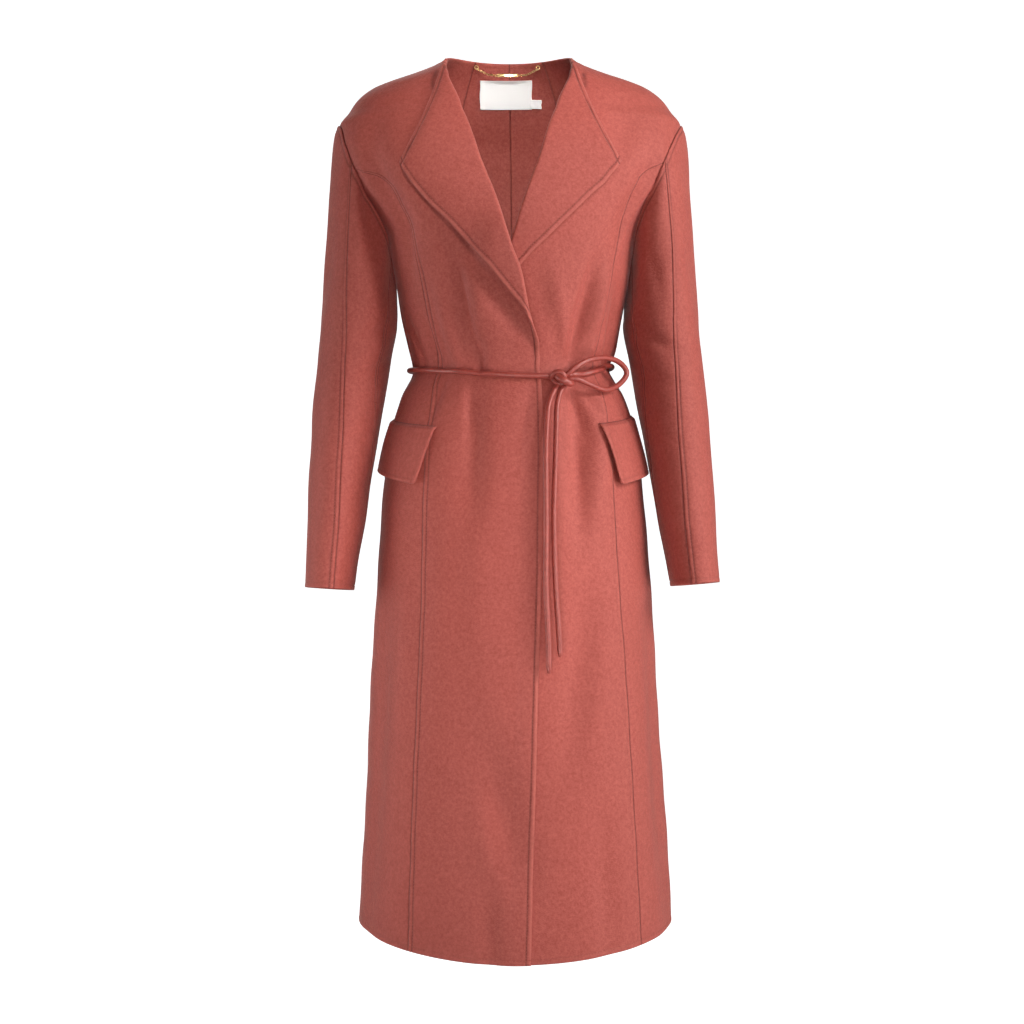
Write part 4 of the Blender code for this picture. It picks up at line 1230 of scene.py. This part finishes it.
def torso_panel(name, near, far, top, near_kind, far_kind, middle):
    z = rows_from(top)
    a, b = near(z), far(z)
    turn = between(a, b, metres_a_degree(a, z), metres_a_degree(b, z), middle)
    near_shoulder = 1 - ease((abs(turn) - 90.0) / SINK_ROUND)
    sink = (FRONT_TOP - BACK_TOP) * near_shoulder * ease((z - BACK_TOP + SINK_DOWN) / SINK_DOWN)
    places = cloth(turn, z + sink)
    along, down = lengths(places, 1), lengths(places, 0)
    wall, groove = together(
        across(near_kind, along),
        across(far_kind, along[:, -1:] - along),
        across("hem", down) if top > SHOULDER_TIP else across("plain", down + MARKS[-1]),
        across("hem", down[-1:] - down),
    )
    print(name, places.shape[:2])
    return sew(name, places, wall, groove)


for side in (-1, 1):
    word = column_of(side)
    torso_panel(
        f"side_front_{word}",
        lambda z: side * follow(FRONT_PRINCESS, word, z),
        lambda z: side * follow(FRONT_ARMHOLE, word, z),
        NOTCH[side] - 0.0010, "plain", "plain", 10,
    )
    torso_panel(
        f"side_back_{word}",
        lambda z: side * np.where(z > SHOULDER_TIP, 90.0, follow(BACK_ARMHOLE, "turn", z)),
        lambda z: side * back_princess(z),
        BACK_TOP, "fine", "plain", 18,
    )
    torso_panel(
        f"back_{word}",
        lambda z: side * back_princess(z),
        lambda z: side * (180.0 + 0 * z),
        BACK_TOP, "plain", "fine" if side > 0 else "plain", 10,
    )

# %% [markdown]
# ## Sleeves
# A sleeve is a tube with its own rings. At the top it is pulled onto the
# armhole, and lower down it goes over into its own shape. Two seams split it,
# and the upper piece carries the bands. The head laps over the edge of the
# armhole, which is the step that shows as a dark line round the shoulder.

# %% Sleeve tables
SLEEVE = table("""
z        x       half_width  y        half_depth
-0.0900  0.1950  0.0320      0.0010   0.0480
-0.1068  0.1960  0.0370      0.0010   0.0530
-0.1608  0.1990  0.0413      0.0030   0.0640
-0.2148  0.2005  0.0442      0.0060   0.0730
-0.2688  0.2022  0.0468      0.0090   0.0780
-0.3228  0.2036  0.0495      0.0100   0.0800
-0.3498  0.2042  0.0510      0.0090   0.0790
-0.4038  0.2110  0.0489      0.0060   0.0755
-0.4578  0.2177  0.0470      0.0000   0.0720
-0.5118  0.2233  0.0433      -0.0080  0.0675
-0.5658  0.2291  0.0405      -0.0185  0.0615
-0.6198  0.2338  0.0375      -0.0250  0.0580
-0.6738  0.2396  0.0332      -0.0310  0.0545
-0.7230  0.2446  0.0308      -0.0365  0.0525
""")
SLEEVE_LEAN = table("""
z        x
-0.7230  0.0022
-0.3500  -0.0017
-0.0900  -0.0017
""")
SLEEVE_HEAD = table("""
round   z
-90.0   -0.3000
-75.0   -0.2780
-60.0   -0.2500
-40.0   -0.2160
-20.0   -0.1850
0.0     -0.1600
14.0    -0.1480
35.0    -0.1240
60.0    -0.1020
90.0    -0.0905
""")
SLEEVE_SEAMS = table("""
z        front  inner
-0.7110  -18.0  -92.0
-0.6400  -14.0  -84.0
-0.5700  -9.0   -76.0
-0.4900  -3.0   -62.0
-0.4100  5.0    -50.0
-0.3300  12.0   -56.0
-0.2500  13.0   -70.0
-0.1570  13.0   -86.0
""")
SLEEVE_FOLDS = table("""
round_1  z_1     round_2  z_2     width   out
-60.0    -0.360  10.0     -0.400  0.0110  -0.0040
-70.0    -0.430  0.0      -0.440  0.0110  -0.0035
40.0     -0.200  60.0     -0.330  0.0160  -0.0035
120.0    -0.240  140.0    -0.400  0.0160  -0.0040
200.0    -0.300  225.0    -0.420  0.0140  -0.0040
230.0    -0.460  170.0    -0.500  0.0130  -0.0035
""")
SLEEVE_CREASES = table("""
round_1  z_1     round_2  z_2     width   out
-80.0    -0.405  -30.0    -0.425  0.0070  -0.0022
-62.0    -0.385  -20.0    -0.395  0.0070  0.0018
-72.0    -0.455  -24.0    -0.470  0.0080  -0.0020
-40.0    -0.500  10.0     -0.530  0.0090  -0.0014
-30.0    -0.245  -4.0     -0.330  0.0090  -0.0020
30.0     -0.150  48.0     -0.260  0.0120  0.0016
70.0     -0.300  84.0     -0.460  0.0150  -0.0018
22.0     -0.560  40.0     -0.640  0.0130  -0.0014
96.0     -0.180  108.0    -0.300  0.0140  -0.0020
150.0    -0.420  190.0    -0.450  0.0090  -0.0026
212.0    -0.380  240.0    -0.400  0.0080  -0.0020
236.0    -0.330  262.0    -0.350  0.0080  -0.0020
""")
SLEEVE_RADIUS = 0.055
SLEEVE_LIFT, SLEEVE_LAP = 0.0017, 0.0030  # how far the head lies out from the armhole and over it
HEAD_FADE = 0.110  # the height over which the armhole's shape gives way to the tube's
HEAD_STRETCH = 1.3  # the head slants, so its marks are further apart in height
CUFF, CUFF_TILT = -0.7110, 0.0032
CUFF_RISE = {-1: (0.0000, 0.0018), 1: (0.0060, 0.0024)}  # the whole cuff, and its outer side
SLEEVE_ROWS, HEAD_ROWS = 150, 30


# %% Make a sleeve piece between two seams
def sleeve_round(side, angle, z):
    """A place on the sleeve's own tube."""
    a = np.radians(angle)
    middle = side * follow(SLEEVE, "x", z) + follow(SLEEVE_LEAN, "x", z)
    push = 0.0005 * np.sin(2 * a + 37 * z + side) * np.sin(29 * z + a)
    for rows in (SLEEVE_FOLDS, SLEEVE_CREASES):
        push = push + push_of(rows, angle, z, SLEEVE_RADIUS)
    x = middle + side * (follow(SLEEVE, "half_width", z) + push) * np.sin(a)
    y = follow(SLEEVE, "y", z) - (follow(SLEEVE, "half_depth", z) + push) * np.cos(a)
    return np.stack(np.broadcast_arrays(x, y, z), axis=-1)


def sleeve_scale(side, angle, z):
    return np.linalg.norm(sleeve_round(side, angle + 0.5, z) - sleeve_round(side, angle - 0.5, z), axis=-1)


def armhole(side, angle):
    """The armhole's edge on the torso, for a place round the sleeve."""
    angle = np.where(angle > 180, angle - 360, angle)
    mirrored = np.where(angle > 90, 180 - angle, np.where(angle < -90, -180 - angle, angle))
    z = follow(SLEEVE_HEAD, "z", mirrored)
    at_back = follow(BACK_ARMHOLE, "turn", z)
    turn = np.where(np.abs(angle) > 90, at_back, follow(FRONT_ARMHOLE, column_of(side), z))
    return side * turn, z


def sleeve(side, seam_1, seam_2, middle):
    """Rows run from the armhole to the cuff, columns from seam to seam."""
    marks = len(MARKS)
    near_head = np.concatenate([MARKS, np.full(SLEEVE_ROWS + marks, MARKS[-1])])[:, None]
    near_cuff = near_head[::-1]
    share = np.linspace(0, 1, SLEEVE_ROWS + 2)[1:-1]
    share = np.concatenate([np.zeros(marks), share, np.ones(marks)])[:, None]
    z = mix(-0.20, CUFF, share)
    rise, slant = CUFF_RISE[side]
    for _ in range(8):  # the seams follow the height, which depends on them
        a, b = seam_1(z), seam_2(z)
        angle = between(a, b, sleeve_scale(side, a, z), sleeve_scale(side, b, z), middle)
        turn, head = armhole(side, angle[:1])
        last = np.radians(angle[-1:])
        cuff = CUFF + rise + slant * np.sin(last) + CUFF_TILT * np.cos(last)
        z = mix(head - HEAD_STRETCH * near_head, cuff + near_cuff, share)
    ahead, behind = (cloth(*armhole(side, angle[:1] + a)) for a in (-3.0, 3.0))
    out = out_of(ring, turn, head)
    over = np.cross(out, behind - ahead) * side
    over = over / np.linalg.norm(over, axis=-1, keepdims=True)
    edge = cloth(turn, head) + out * SLEEVE_LIFT + over * SLEEVE_LAP
    tube = sleeve_round(side, angle, z)
    fade = 1 - ease((head - z) / HEAD_FADE)
    return tube + (edge - sleeve_round(side, angle[:1], head)) * fade[..., None]


def front_seam(z):
    return follow(SLEEVE_SEAMS, "front", z)


def inner_seam(z):
    return follow(SLEEVE_SEAMS, "inner", z)


for side in (-1, 1):
    word = column_of(side)
    for part, seams, middle, kind in (
        ("top", (front_seam, lambda z: 360 + inner_seam(z)), 52, "band"),
        ("under", (inner_seam, front_seam), 14, "plain"),
    ):
        places = sleeve(side, *seams, middle)
        along, down = lengths(places, 1), lengths(places, 0)
        head = np.full(along.shape, FAR)
        head[:HEAD_ROWS] = from_line(places[:HEAD_ROWS], places[0])
        wall, groove = together(
            across(kind, along), across(kind, along[:, -1:] - along),
            across("band", head), across("hem", down[-1:] - down),
        )
        sew(f"sleeve_{part}_{word}", places, wall, groove)
        print(f"sleeve_{part}_{word}", places.shape[:2])

# %% [markdown]
# ## Pocket flaps
# A flap is a small stiff rectangle set on a slant and sewn in along its top, so
# it starts level with the coat and then stands a little off it, most of all at
# the lower outer corner. Its three free edges have the same band as the lapels,
# and its lower corners are slightly rounded.

# %% Make the flaps
FLAPS = {  # turn, height and lift of the upper outer, upper inner, lower inner and lower outer corner
    -1: [
        (-86.0, -0.4850, 0.0040), (-36.0, -0.4990, 0.0045),
        (-43.2, -0.5745, 0.0090), (-82.0, -0.5560, 0.0120),
    ],
    1: [
        (84.0, -0.4800, 0.0040), (40.6, -0.4960, 0.0050),
        (49.0, -0.5745, 0.0100), (78.0, -0.5600, 0.0110),
    ],
}
FLAP_SIZE = (0.066, 0.076)  # about how wide and how tall
FLAP_CORNER = 0.0045
FLAP_ROOT, ROOT_LIFT = 0.0055, 0.0012  # a flap comes out of its seam within this distance
SEAM_SHADE = 0.0016  # how far from the seam the painted shade at a flap's root goes


def round_corner(across_it, down_it):
    """Moves the points near a square corner onto a quarter circle. Both are
    distances from the two edges that meet there."""
    x = np.clip(1 - across_it / FLAP_CORNER, 0, 1)
    y = np.clip(1 - down_it / FLAP_CORNER, 0, 1)
    near = (across_it < FLAP_CORNER) & (down_it < FLAP_CORNER)
    rounder = 1 - x * np.sqrt(1 - y**2 / 2), 1 - y * np.sqrt(1 - x**2 / 2)
    return (
        np.where(near, rounder[0] * FLAP_CORNER, across_it),
        np.where(near, rounder[1] * FLAP_CORNER, down_it),
    )


def flap(side):
    wide, tall = FLAP_SIZE
    a, b, c, d = np.array(FLAPS[side])
    middle = np.linspace(MARKS[-1], wide - MARKS[-1], 20)[1:-1]
    u = np.concatenate([MARKS, middle, wide - MARKS[::-1]])
    root, middle = np.linspace(0, MARKS[-2], 9), np.linspace(MARKS[-2], tall - MARKS[-1], 24)[1:-1]
    v = np.concatenate([root, middle, tall - MARKS[::-1]])
    u, v = np.broadcast_arrays(u[None, :], v[:, None])
    left, low = round_corner(u, tall - v)
    right, low = round_corner(wide - left, low)
    u, v = (wide - right)[..., None] / wide, (tall - low)[..., None] / tall
    turn, z, lift = np.moveaxis(mix(mix(a, b, u), mix(d, c, u), v), -1, 0)
    from_seam = v[..., 0] * tall
    wave = 0.0006 * np.sin(70 * u[..., 0] * wide + side) * v[..., 0]
    lift = mix(ROOT_LIFT, lift + wave, ease(from_seam / FLAP_ROOT))
    return cloth(turn, z, lift), from_seam


for side in (-1, 1):
    word = column_of(side)
    places, from_seam = flap(side)
    along, down = lengths(places, 1), lengths(places, 0)
    wall, groove = together(
        across("flap", along), across("flap", along[:, -1:] - along), across("flap", down[-1:] - down),
    )
    # Painted shade along the seam at the flap's root.
    groove = np.maximum(groove, 1.0 - from_seam / SEAM_SHADE)
    sew(f"pocket_flap_{word}", places, wall, groove)
    print(f"pocket_flap_{word}", places.shape[:2])

# %% [markdown]
# ## The belt round the waist
# The belt is a rouleau: a tube of cloth sewn on the bias and turned right side
# out, about seven millimetres thick. Round the waist it lies on the coat,
# climbs over the front edge and stands off it again to reach the knot. It is
# one bevelled curve.

# %% Make the belt round the waist
BELT = table("""
turn   z
-180   -0.4150
-90    -0.4180
-44    -0.4260
-18    -0.4320
4      -0.4363
20     -0.4372
30     -0.4350
40     -0.4318
72     -0.4145
90     -0.4130
180    -0.4150
""")
BELT_CLEAR = 0.0010
FROM_TURN, TO_TURN = 31.2, 382.5  # it starts on one side of the knot and ends on the other
LAP_TURN = 17.5  # up to here it lies on the upper front
TO_KNOT = ((0.0045, 16, 9.0), (0.0090, 33, 4.5))  # how far it stands off, where, and over how many degrees


def belt_points():
    """Round the waist from one side of the knot to the other."""
    turn = np.linspace(FROM_TURN, TO_TURN, 150)
    own = np.where(turn > 180, turn - 360, turn)
    z = follow(BELT, "z", own)
    lapped = own < LAP_TURN
    upper = layer(-1, np.where(lapped, own, -90), z) * lapped
    stand = sum(far * np.exp(-(((own - at) / width) ** 2)) for far, at, width in TO_KNOT)
    return cloth(own, z, WALL / 2 + BELT_CLEAR + CORD / 2 + upper + stand * ~lapped)


waist = cord_piece("belt_waist_cord", belt_points())
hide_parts("belt_waist")
print("belt", round(float(lengths(belt_points()[None], 1)[0, -1]), 3), "m round the waist")

# %% [markdown]
# ## Hand stitching
# The seams and edges are held with small stitches in the grooves. Each one is a
# tiny spindle with only twenty faces, because there are thousands of them. They
# are slightly uneven, with a fixed seed, so that the coat is the same each time.

# %% Stitches along a line
STITCH = (0.00105, 0.00020, 0.00016)  # half its length, width and height
PITCH, SCATTER = 0.0040, 0.0004
SLANT = (0.05, 0.22)  # least and most
NEARBY = 0.001  # the line's direction is read between this far back and this far on
dice = np.random.default_rng(11)


def along_line(at, run, values):
    """Each column of values at some distances along a line."""
    return np.stack([np.interp(at, run, column) for column in values.T], axis=-1)


def stitch_line(made, points, out, pitch=PITCH):
    """Adds stitches to a bmesh along points on the surface; out points away
    from the cloth at each of them."""
    run = lengths(points[None], 1)[0]
    count = int(run[-1] / pitch)
    if count < 2:
        return 0
    at = (np.arange(count) + 0.5) * pitch + dice.uniform(-SCATTER, SCATTER, count)
    place, up = along_line(at, run, points), along_line(at, run, out)
    ways = along_line(at + NEARBY, run, points) - along_line(at - NEARBY, run, points)
    row = bmesh.new()
    for p, way, n in zip(place, ways, up):
        forward = Vector(way).normalized()
        n = Vector(n).normalized()
        sideways = n.cross(forward).normalized()
        forward = (forward + sideways * dice.uniform(*SLANT)).normalized()
        turned = Matrix((forward, n.cross(forward).normalized(), n)).transposed().to_4x4()
        lying = Matrix.Translation(p) @ turned @ Matrix.Diagonal((*STITCH, 1))
        bmesh.ops.create_icosphere(row, subdivisions=1, radius=1.0, matrix=lying)
    mesh = bpy.data.meshes.new("row of stitches")
    row.to_mesh(mesh)
    row.free()
    made.from_mesh(mesh)
    bpy.data.meshes.remove(mesh)
    return count


def normals_of(places, centre):
    """Unit normals of a grid that point away from its centre line."""
    n = np.cross(np.gradient(places, axis=1), np.gradient(places, axis=0))
    n = n / np.maximum(np.linalg.norm(n, axis=-1, keepdims=True), 1e-12)
    away = ((places - centre) * n).sum(axis=-1).mean()
    return n * np.sign(away)


print("a stitch every", PITCH, "m")


# %% Stitch the grooves
# Columns and rows of a groove are found by counting, because every panel is made
# with the same marks at its seams. Rows are closer together at a torso panel's
# neck edge and hem, so the groove there has numbers of its own.
NECK_ROW, HEM_ROW = 4, -7
UNDER_NOTCH = slice(60, None)  # the rows where the front's outer edge is the princess seam
FREE_OF_SEAM = slice(6, None)  # the rows of a flap below its root


def sewn(made, name, line, centre, faces=(1,)):
    """Stitches along one row or column of a piece. line picks it out of a grid,
    faces are 1 for the outside and -1 for the inside."""
    places, wall = woven[name]
    out = normals_of(places, centre)
    count = 0
    for face in faces:
        points = places[line] + out[line] * (wall[line][:, None] / 2 + STITCH[2] * 0.3) * face
        count += stitch_line(made, points, out[line] * face)
    return count


def torso_centre(name):
    return woven[name][0] * (0, 0, 1)


def sleeve_centre(name):
    places = woven[name][0]
    side = 1 if name.endswith("left") else -1
    z = places[..., 2]
    x = side * follow(SLEEVE, "x", z) + follow(SLEEVE_LEAN, "x", z)
    return np.stack([x, follow(SLEEVE, "y", z), z], axis=-1)


everything = slice(None)
for side in (-1, 1):
    word = column_of(side)
    made = bmesh.new()
    total = 0
    for part, line, faces in (
        ("front", (UNDER_NOTCH, GROOVE), (1,)),
        ("front", (everything, FAR_GROOVE), (1, -1)),
        ("side_back", (everything, GROOVE), (1,)),
        ("back", (everything, GROOVE), (1, -1)),
        ("back", (NECK_ROW, everything), (1,)),
        ("side_back", (NECK_ROW, everything), (1,)),
        ("side_front", (HEM_ROW, everything), (1,)),
        ("side_back", (HEM_ROW, everything), (1,)),
        ("back", (HEM_ROW, everything), (1,)),
        ("front", (HEM_ROW, everything), (1,)),
        ("pocket_flap", (FREE_OF_SEAM, GROOVE), (1,)),
        ("pocket_flap", (FREE_OF_SEAM, FAR_GROOVE), (1,)),
        ("pocket_flap", (FAR_GROOVE, everything), (1,)),
    ):
        name = f"{part}_{word}"
        total += sewn(made, name, line, torso_centre(name), faces)
    if side > 0:
        total += sewn(made, "back_left", (everything, FAR_GROOVE), torso_centre("back_left"), (1, -1))
    for part, line in (
        ("top", (everything, GROOVE)),
        ("top", (everything, FAR_GROOVE)),
        ("top", (GROOVE, everything)),
        ("under", (GROOVE, everything)),
        ("top", (FAR_GROOVE, everything)),
        ("under", (FAR_GROOVE, everything)),
    ):
        name = f"sleeve_{part}_{word}"
        total += sewn(made, name, line, sleeve_centre(name))
    stitching = meshed(f"stitches_{word}", made, thread)
    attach(stitching, "coat")
    print(f"stitches_{word}", total)

# %% [markdown]
# ## Neck label and size tab
# A satin ribbon label sits inside the back neck, its two ends folded under. It
# is sewn down along its top and held by a few stitches at its lower corners. The
# size tab is a smaller piece of the same ribbon, caught under one of them. Both
# are left plain.

# %% Make the label and the tab
LABEL = (-0.0437, 0.0293, -0.0210, -0.0500)  # two sides across, top and bottom
TAB = (0.0265, 0.0430, -0.0403, -0.0490)
LABEL_WALL, LABEL_CLEAR, TAB_CLEAR = 0.0008, 0.0009, 0.0026
RIBBON_HEM = 0.0060  # how far an end is folded under, where the ribbon is double
SINGLE, DOUBLE = 0.0011, 0.0014
LABEL_STITCH = 0.0026


def ribbon(name, edges, clear, columns, rows, tilt=0.0, lift_corner=0.0):
    """A piece of ribbon on the inside of the back."""
    x_1, x_2, top, bottom = edges
    down = np.linspace(0, 1, rows)[:, None]
    over = np.linspace(0, 1, columns)[None, :]
    z = mix(top, bottom, down) + tilt * (over - 0.5)
    x = mix(x_1, x_2, over) + 0.0004 * np.sin(9 * down)
    wave = 0.00025 * np.sin(11 * over + 2) * np.sin(5 * down)
    stand = clear + LABEL_WALL / 2 + lift_corner * (over * down) ** 3 + wave
    places = cloth(turn_at(x, z, behind=True), z, -(WALL / 2 + stand))
    along = lengths(places, 1)
    from_end = np.minimum(along, along[:, -1:] - along)
    folded = (0, 0.0005, RIBBON_HEM - 0.0004, RIBBON_HEM)
    wall = np.interp(from_end, folded, (SINGLE, DOUBLE, DOUBLE, SINGLE))
    piece = sew(name, places, wall, np.zeros_like(wall), ivory)
    return places


label_places = ribbon("neck_label", LABEL, LABEL_CLEAR, 75, 31, tilt=0.0004)
tab_places = ribbon("size_tab", TAB, TAB_CLEAR, 20, 12, tilt=-0.0006, lift_corner=0.0008)
made = bmesh.new()
inward = -normals_of(label_places, torso_centre("neck_label"))
for line in ((1, everything), (-2, slice(0, 11)), (-2, slice(-11, None))):
    stitch_line(made, label_places[line] + inward[line] * DOUBLE / 2, inward[line], pitch=LABEL_STITCH)
label_stitches = meshed("label_stitches", made, ivory_thread)
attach(label_stitches, "coat")
print("label", label_places.shape[:2], "tab", tab_places.shape[:2])

# %% [markdown]
# ## Hanger chain
# A short gilt chain with a flat bar hangs inside the back neck from two rings.
# One link is a circle spun into a ring and pulled oval; the rest are copies,
# each turned a quarter way round from the last, as links hang. The bar has a
# hole at each end, so it is spun from its outline rather than left a box.

# %% Rings and links
RING_LEFT = (0.0372, 0.0617, 0.0060)
RING_RIGHT = (-0.0478, 0.0596, 0.0060)
RING_RADIUS, RING_WIRE = 0.0025, 0.00065
LINK = (0.00200, 0.00135, 0.00042)  # half its length, half its width, radius of its wire
BAR = (0.0150, 0.0009, 0.0023)  # half its length, thickness and height
BAR_AT = (-0.0046, 0.0605, -0.0049)
EYE_IN, EYE_RADIUS = 0.0014, 0.00085  # the hole in the bar, in from its end


def ring_mesh(radius, wire, around, thick):
    """One ring of wire about the Y axis, as a mesh to copy from."""
    made = bmesh.new()
    aside = Matrix.Translation((radius, 0, 0))
    circle = bmesh.ops.create_circle(made, segments=thick, radius=wire, matrix=aside)["verts"]
    outline = list({edge for vert in circle for edge in vert.link_edges})
    bmesh.ops.spin(
        made, geom=circle + outline, cent=(0, 0, 0), axis=(0, 1, 0), angle=2 * np.pi, steps=around,
        use_merge=True,
    )
    bmesh.ops.remove_doubles(made, verts=made.verts, dist=1e-7)
    bmesh.ops.recalc_face_normals(made, faces=made.faces)
    mesh = bpy.data.meshes.new("ring")
    made.to_mesh(mesh)
    made.free()
    return mesh


def copy_in(made, mesh, matrix):
    """Adds a copy of a mesh to a bmesh, put in place by a matrix."""
    before = len(made.verts)
    made.from_mesh(mesh)
    made.verts.ensure_lookup_table()
    bmesh.ops.transform(made, matrix=matrix, verts=made.verts[before:])


ring_wire = ring_mesh(RING_RADIUS, RING_WIRE, 40, 10)
for name, place in (("hanger_ring_left", RING_LEFT), ("hanger_ring_right", RING_RIGHT)):
    made = bmesh.new()
    copy_in(made, ring_wire, Matrix.Translation(place))
    thing = meshed(f"{name}_wire", made, gilt)
    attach(thing, "coat")
    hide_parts(name)
    print(name, len(thing.data.polygons), "faces")

# %% The two lengths of chain
LINK_PITCH, FIRST_ROLL = 0.00270, 0.5  # metres, and radians
CHAIN_IN = 0.0014  # it leaves the ring this far in from the ring's lowest point
DROOP = 0.0026
link_mesh = ring_mesh(LINK[1], LINK[2], 12, 5)
oval = Matrix.Diagonal((LINK[0] / LINK[1], 1, 1, 1))
for word, place, side in (("left", RING_LEFT, 1), ("right", RING_RIGHT, -1)):
    start = np.array(place) + (-side * CHAIN_IN, 0.0, -RING_RADIUS)
    end = np.array(BAR_AT) + (side * (BAR[0] - EYE_IN), 0.0, 0.0)
    middle = mix(start, end, 0.5) - (0.0, 0.0, DROOP)
    line = smooth_path([start, middle, end], 200)
    run = lengths(line[None], 1)[0]
    count = int(run[-1] / LINK_PITCH) + 1
    at = np.linspace(0, run[-1], count)
    ways = along_line(at + NEARBY / 2, run, line) - along_line(at - NEARBY / 2, run, line)
    made = bmesh.new()
    for i, (p, way) in enumerate(zip(along_line(at, run, line), ways)):
        lie = Vector(way).to_track_quat("X", "Z").to_matrix().to_4x4()
        roll = Matrix.Rotation(np.pi / 2 * (i % 2) + FIRST_ROLL, 4, "X")
        copy_in(made, link_mesh, Matrix.Translation(p) @ lie @ roll @ oval)
    chain = meshed(f"hanger_chain_{word}_links", made, gilt)
    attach(chain, "hanger")
    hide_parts(f"hanger_chain_{word}")
    print("chain", word, count, "links,", round(float(run[-1]), 4), "m")

# %% The flat bar
# Half of it is a disc with a hole whose inner side is pulled out to the middle;
# the other half is its mirror image.
made = bmesh.new()
round_end = BAR[0] - BAR[2]
rim, hole = (
    bmesh.ops.create_circle(made, segments=32, radius=radius, matrix=Matrix.Translation((x, 0, 0)))["verts"]
    for radius, x in ((BAR[2], round_end), (EYE_RADIUS, BAR[0] - EYE_IN))
)
bmesh.ops.bridge_loops(made, edges=list({edge for vert in rim + hole for edge in vert.link_edges}))
for vert in rim:
    if vert.co.x < round_end - 1e-6:
        vert.co.x = 0.0
bmesh.ops.mirror(made, geom=made.verts[:] + made.edges[:] + made.faces[:], axis="X", merge_dist=1e-6)
bmesh.ops.recalc_face_normals(made, faces=made.faces)
bmesh.ops.rotate(made, verts=made.verts, matrix=Matrix.Rotation(np.pi / 2, 3, "X"))
bmesh.ops.translate(made, verts=made.verts, vec=BAR_AT)
bar = meshed("hanger_bar_plate", made, gilt)
for kind, settings in (
    ("SOLIDIFY", {"thickness": 2 * BAR[1], "offset": 0.0}),
    ("BEVEL", {"width": 0.00025, "segments": 2, "limit_method": "ANGLE"}),
):
    added = bar.modifiers.new(kind.lower(), kind)
    for key, value in settings.items():
        setattr(added, key, value)
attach(bar, "hanger")
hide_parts("hanger_bar")
print("bar", len(bar.data.polygons), "faces")
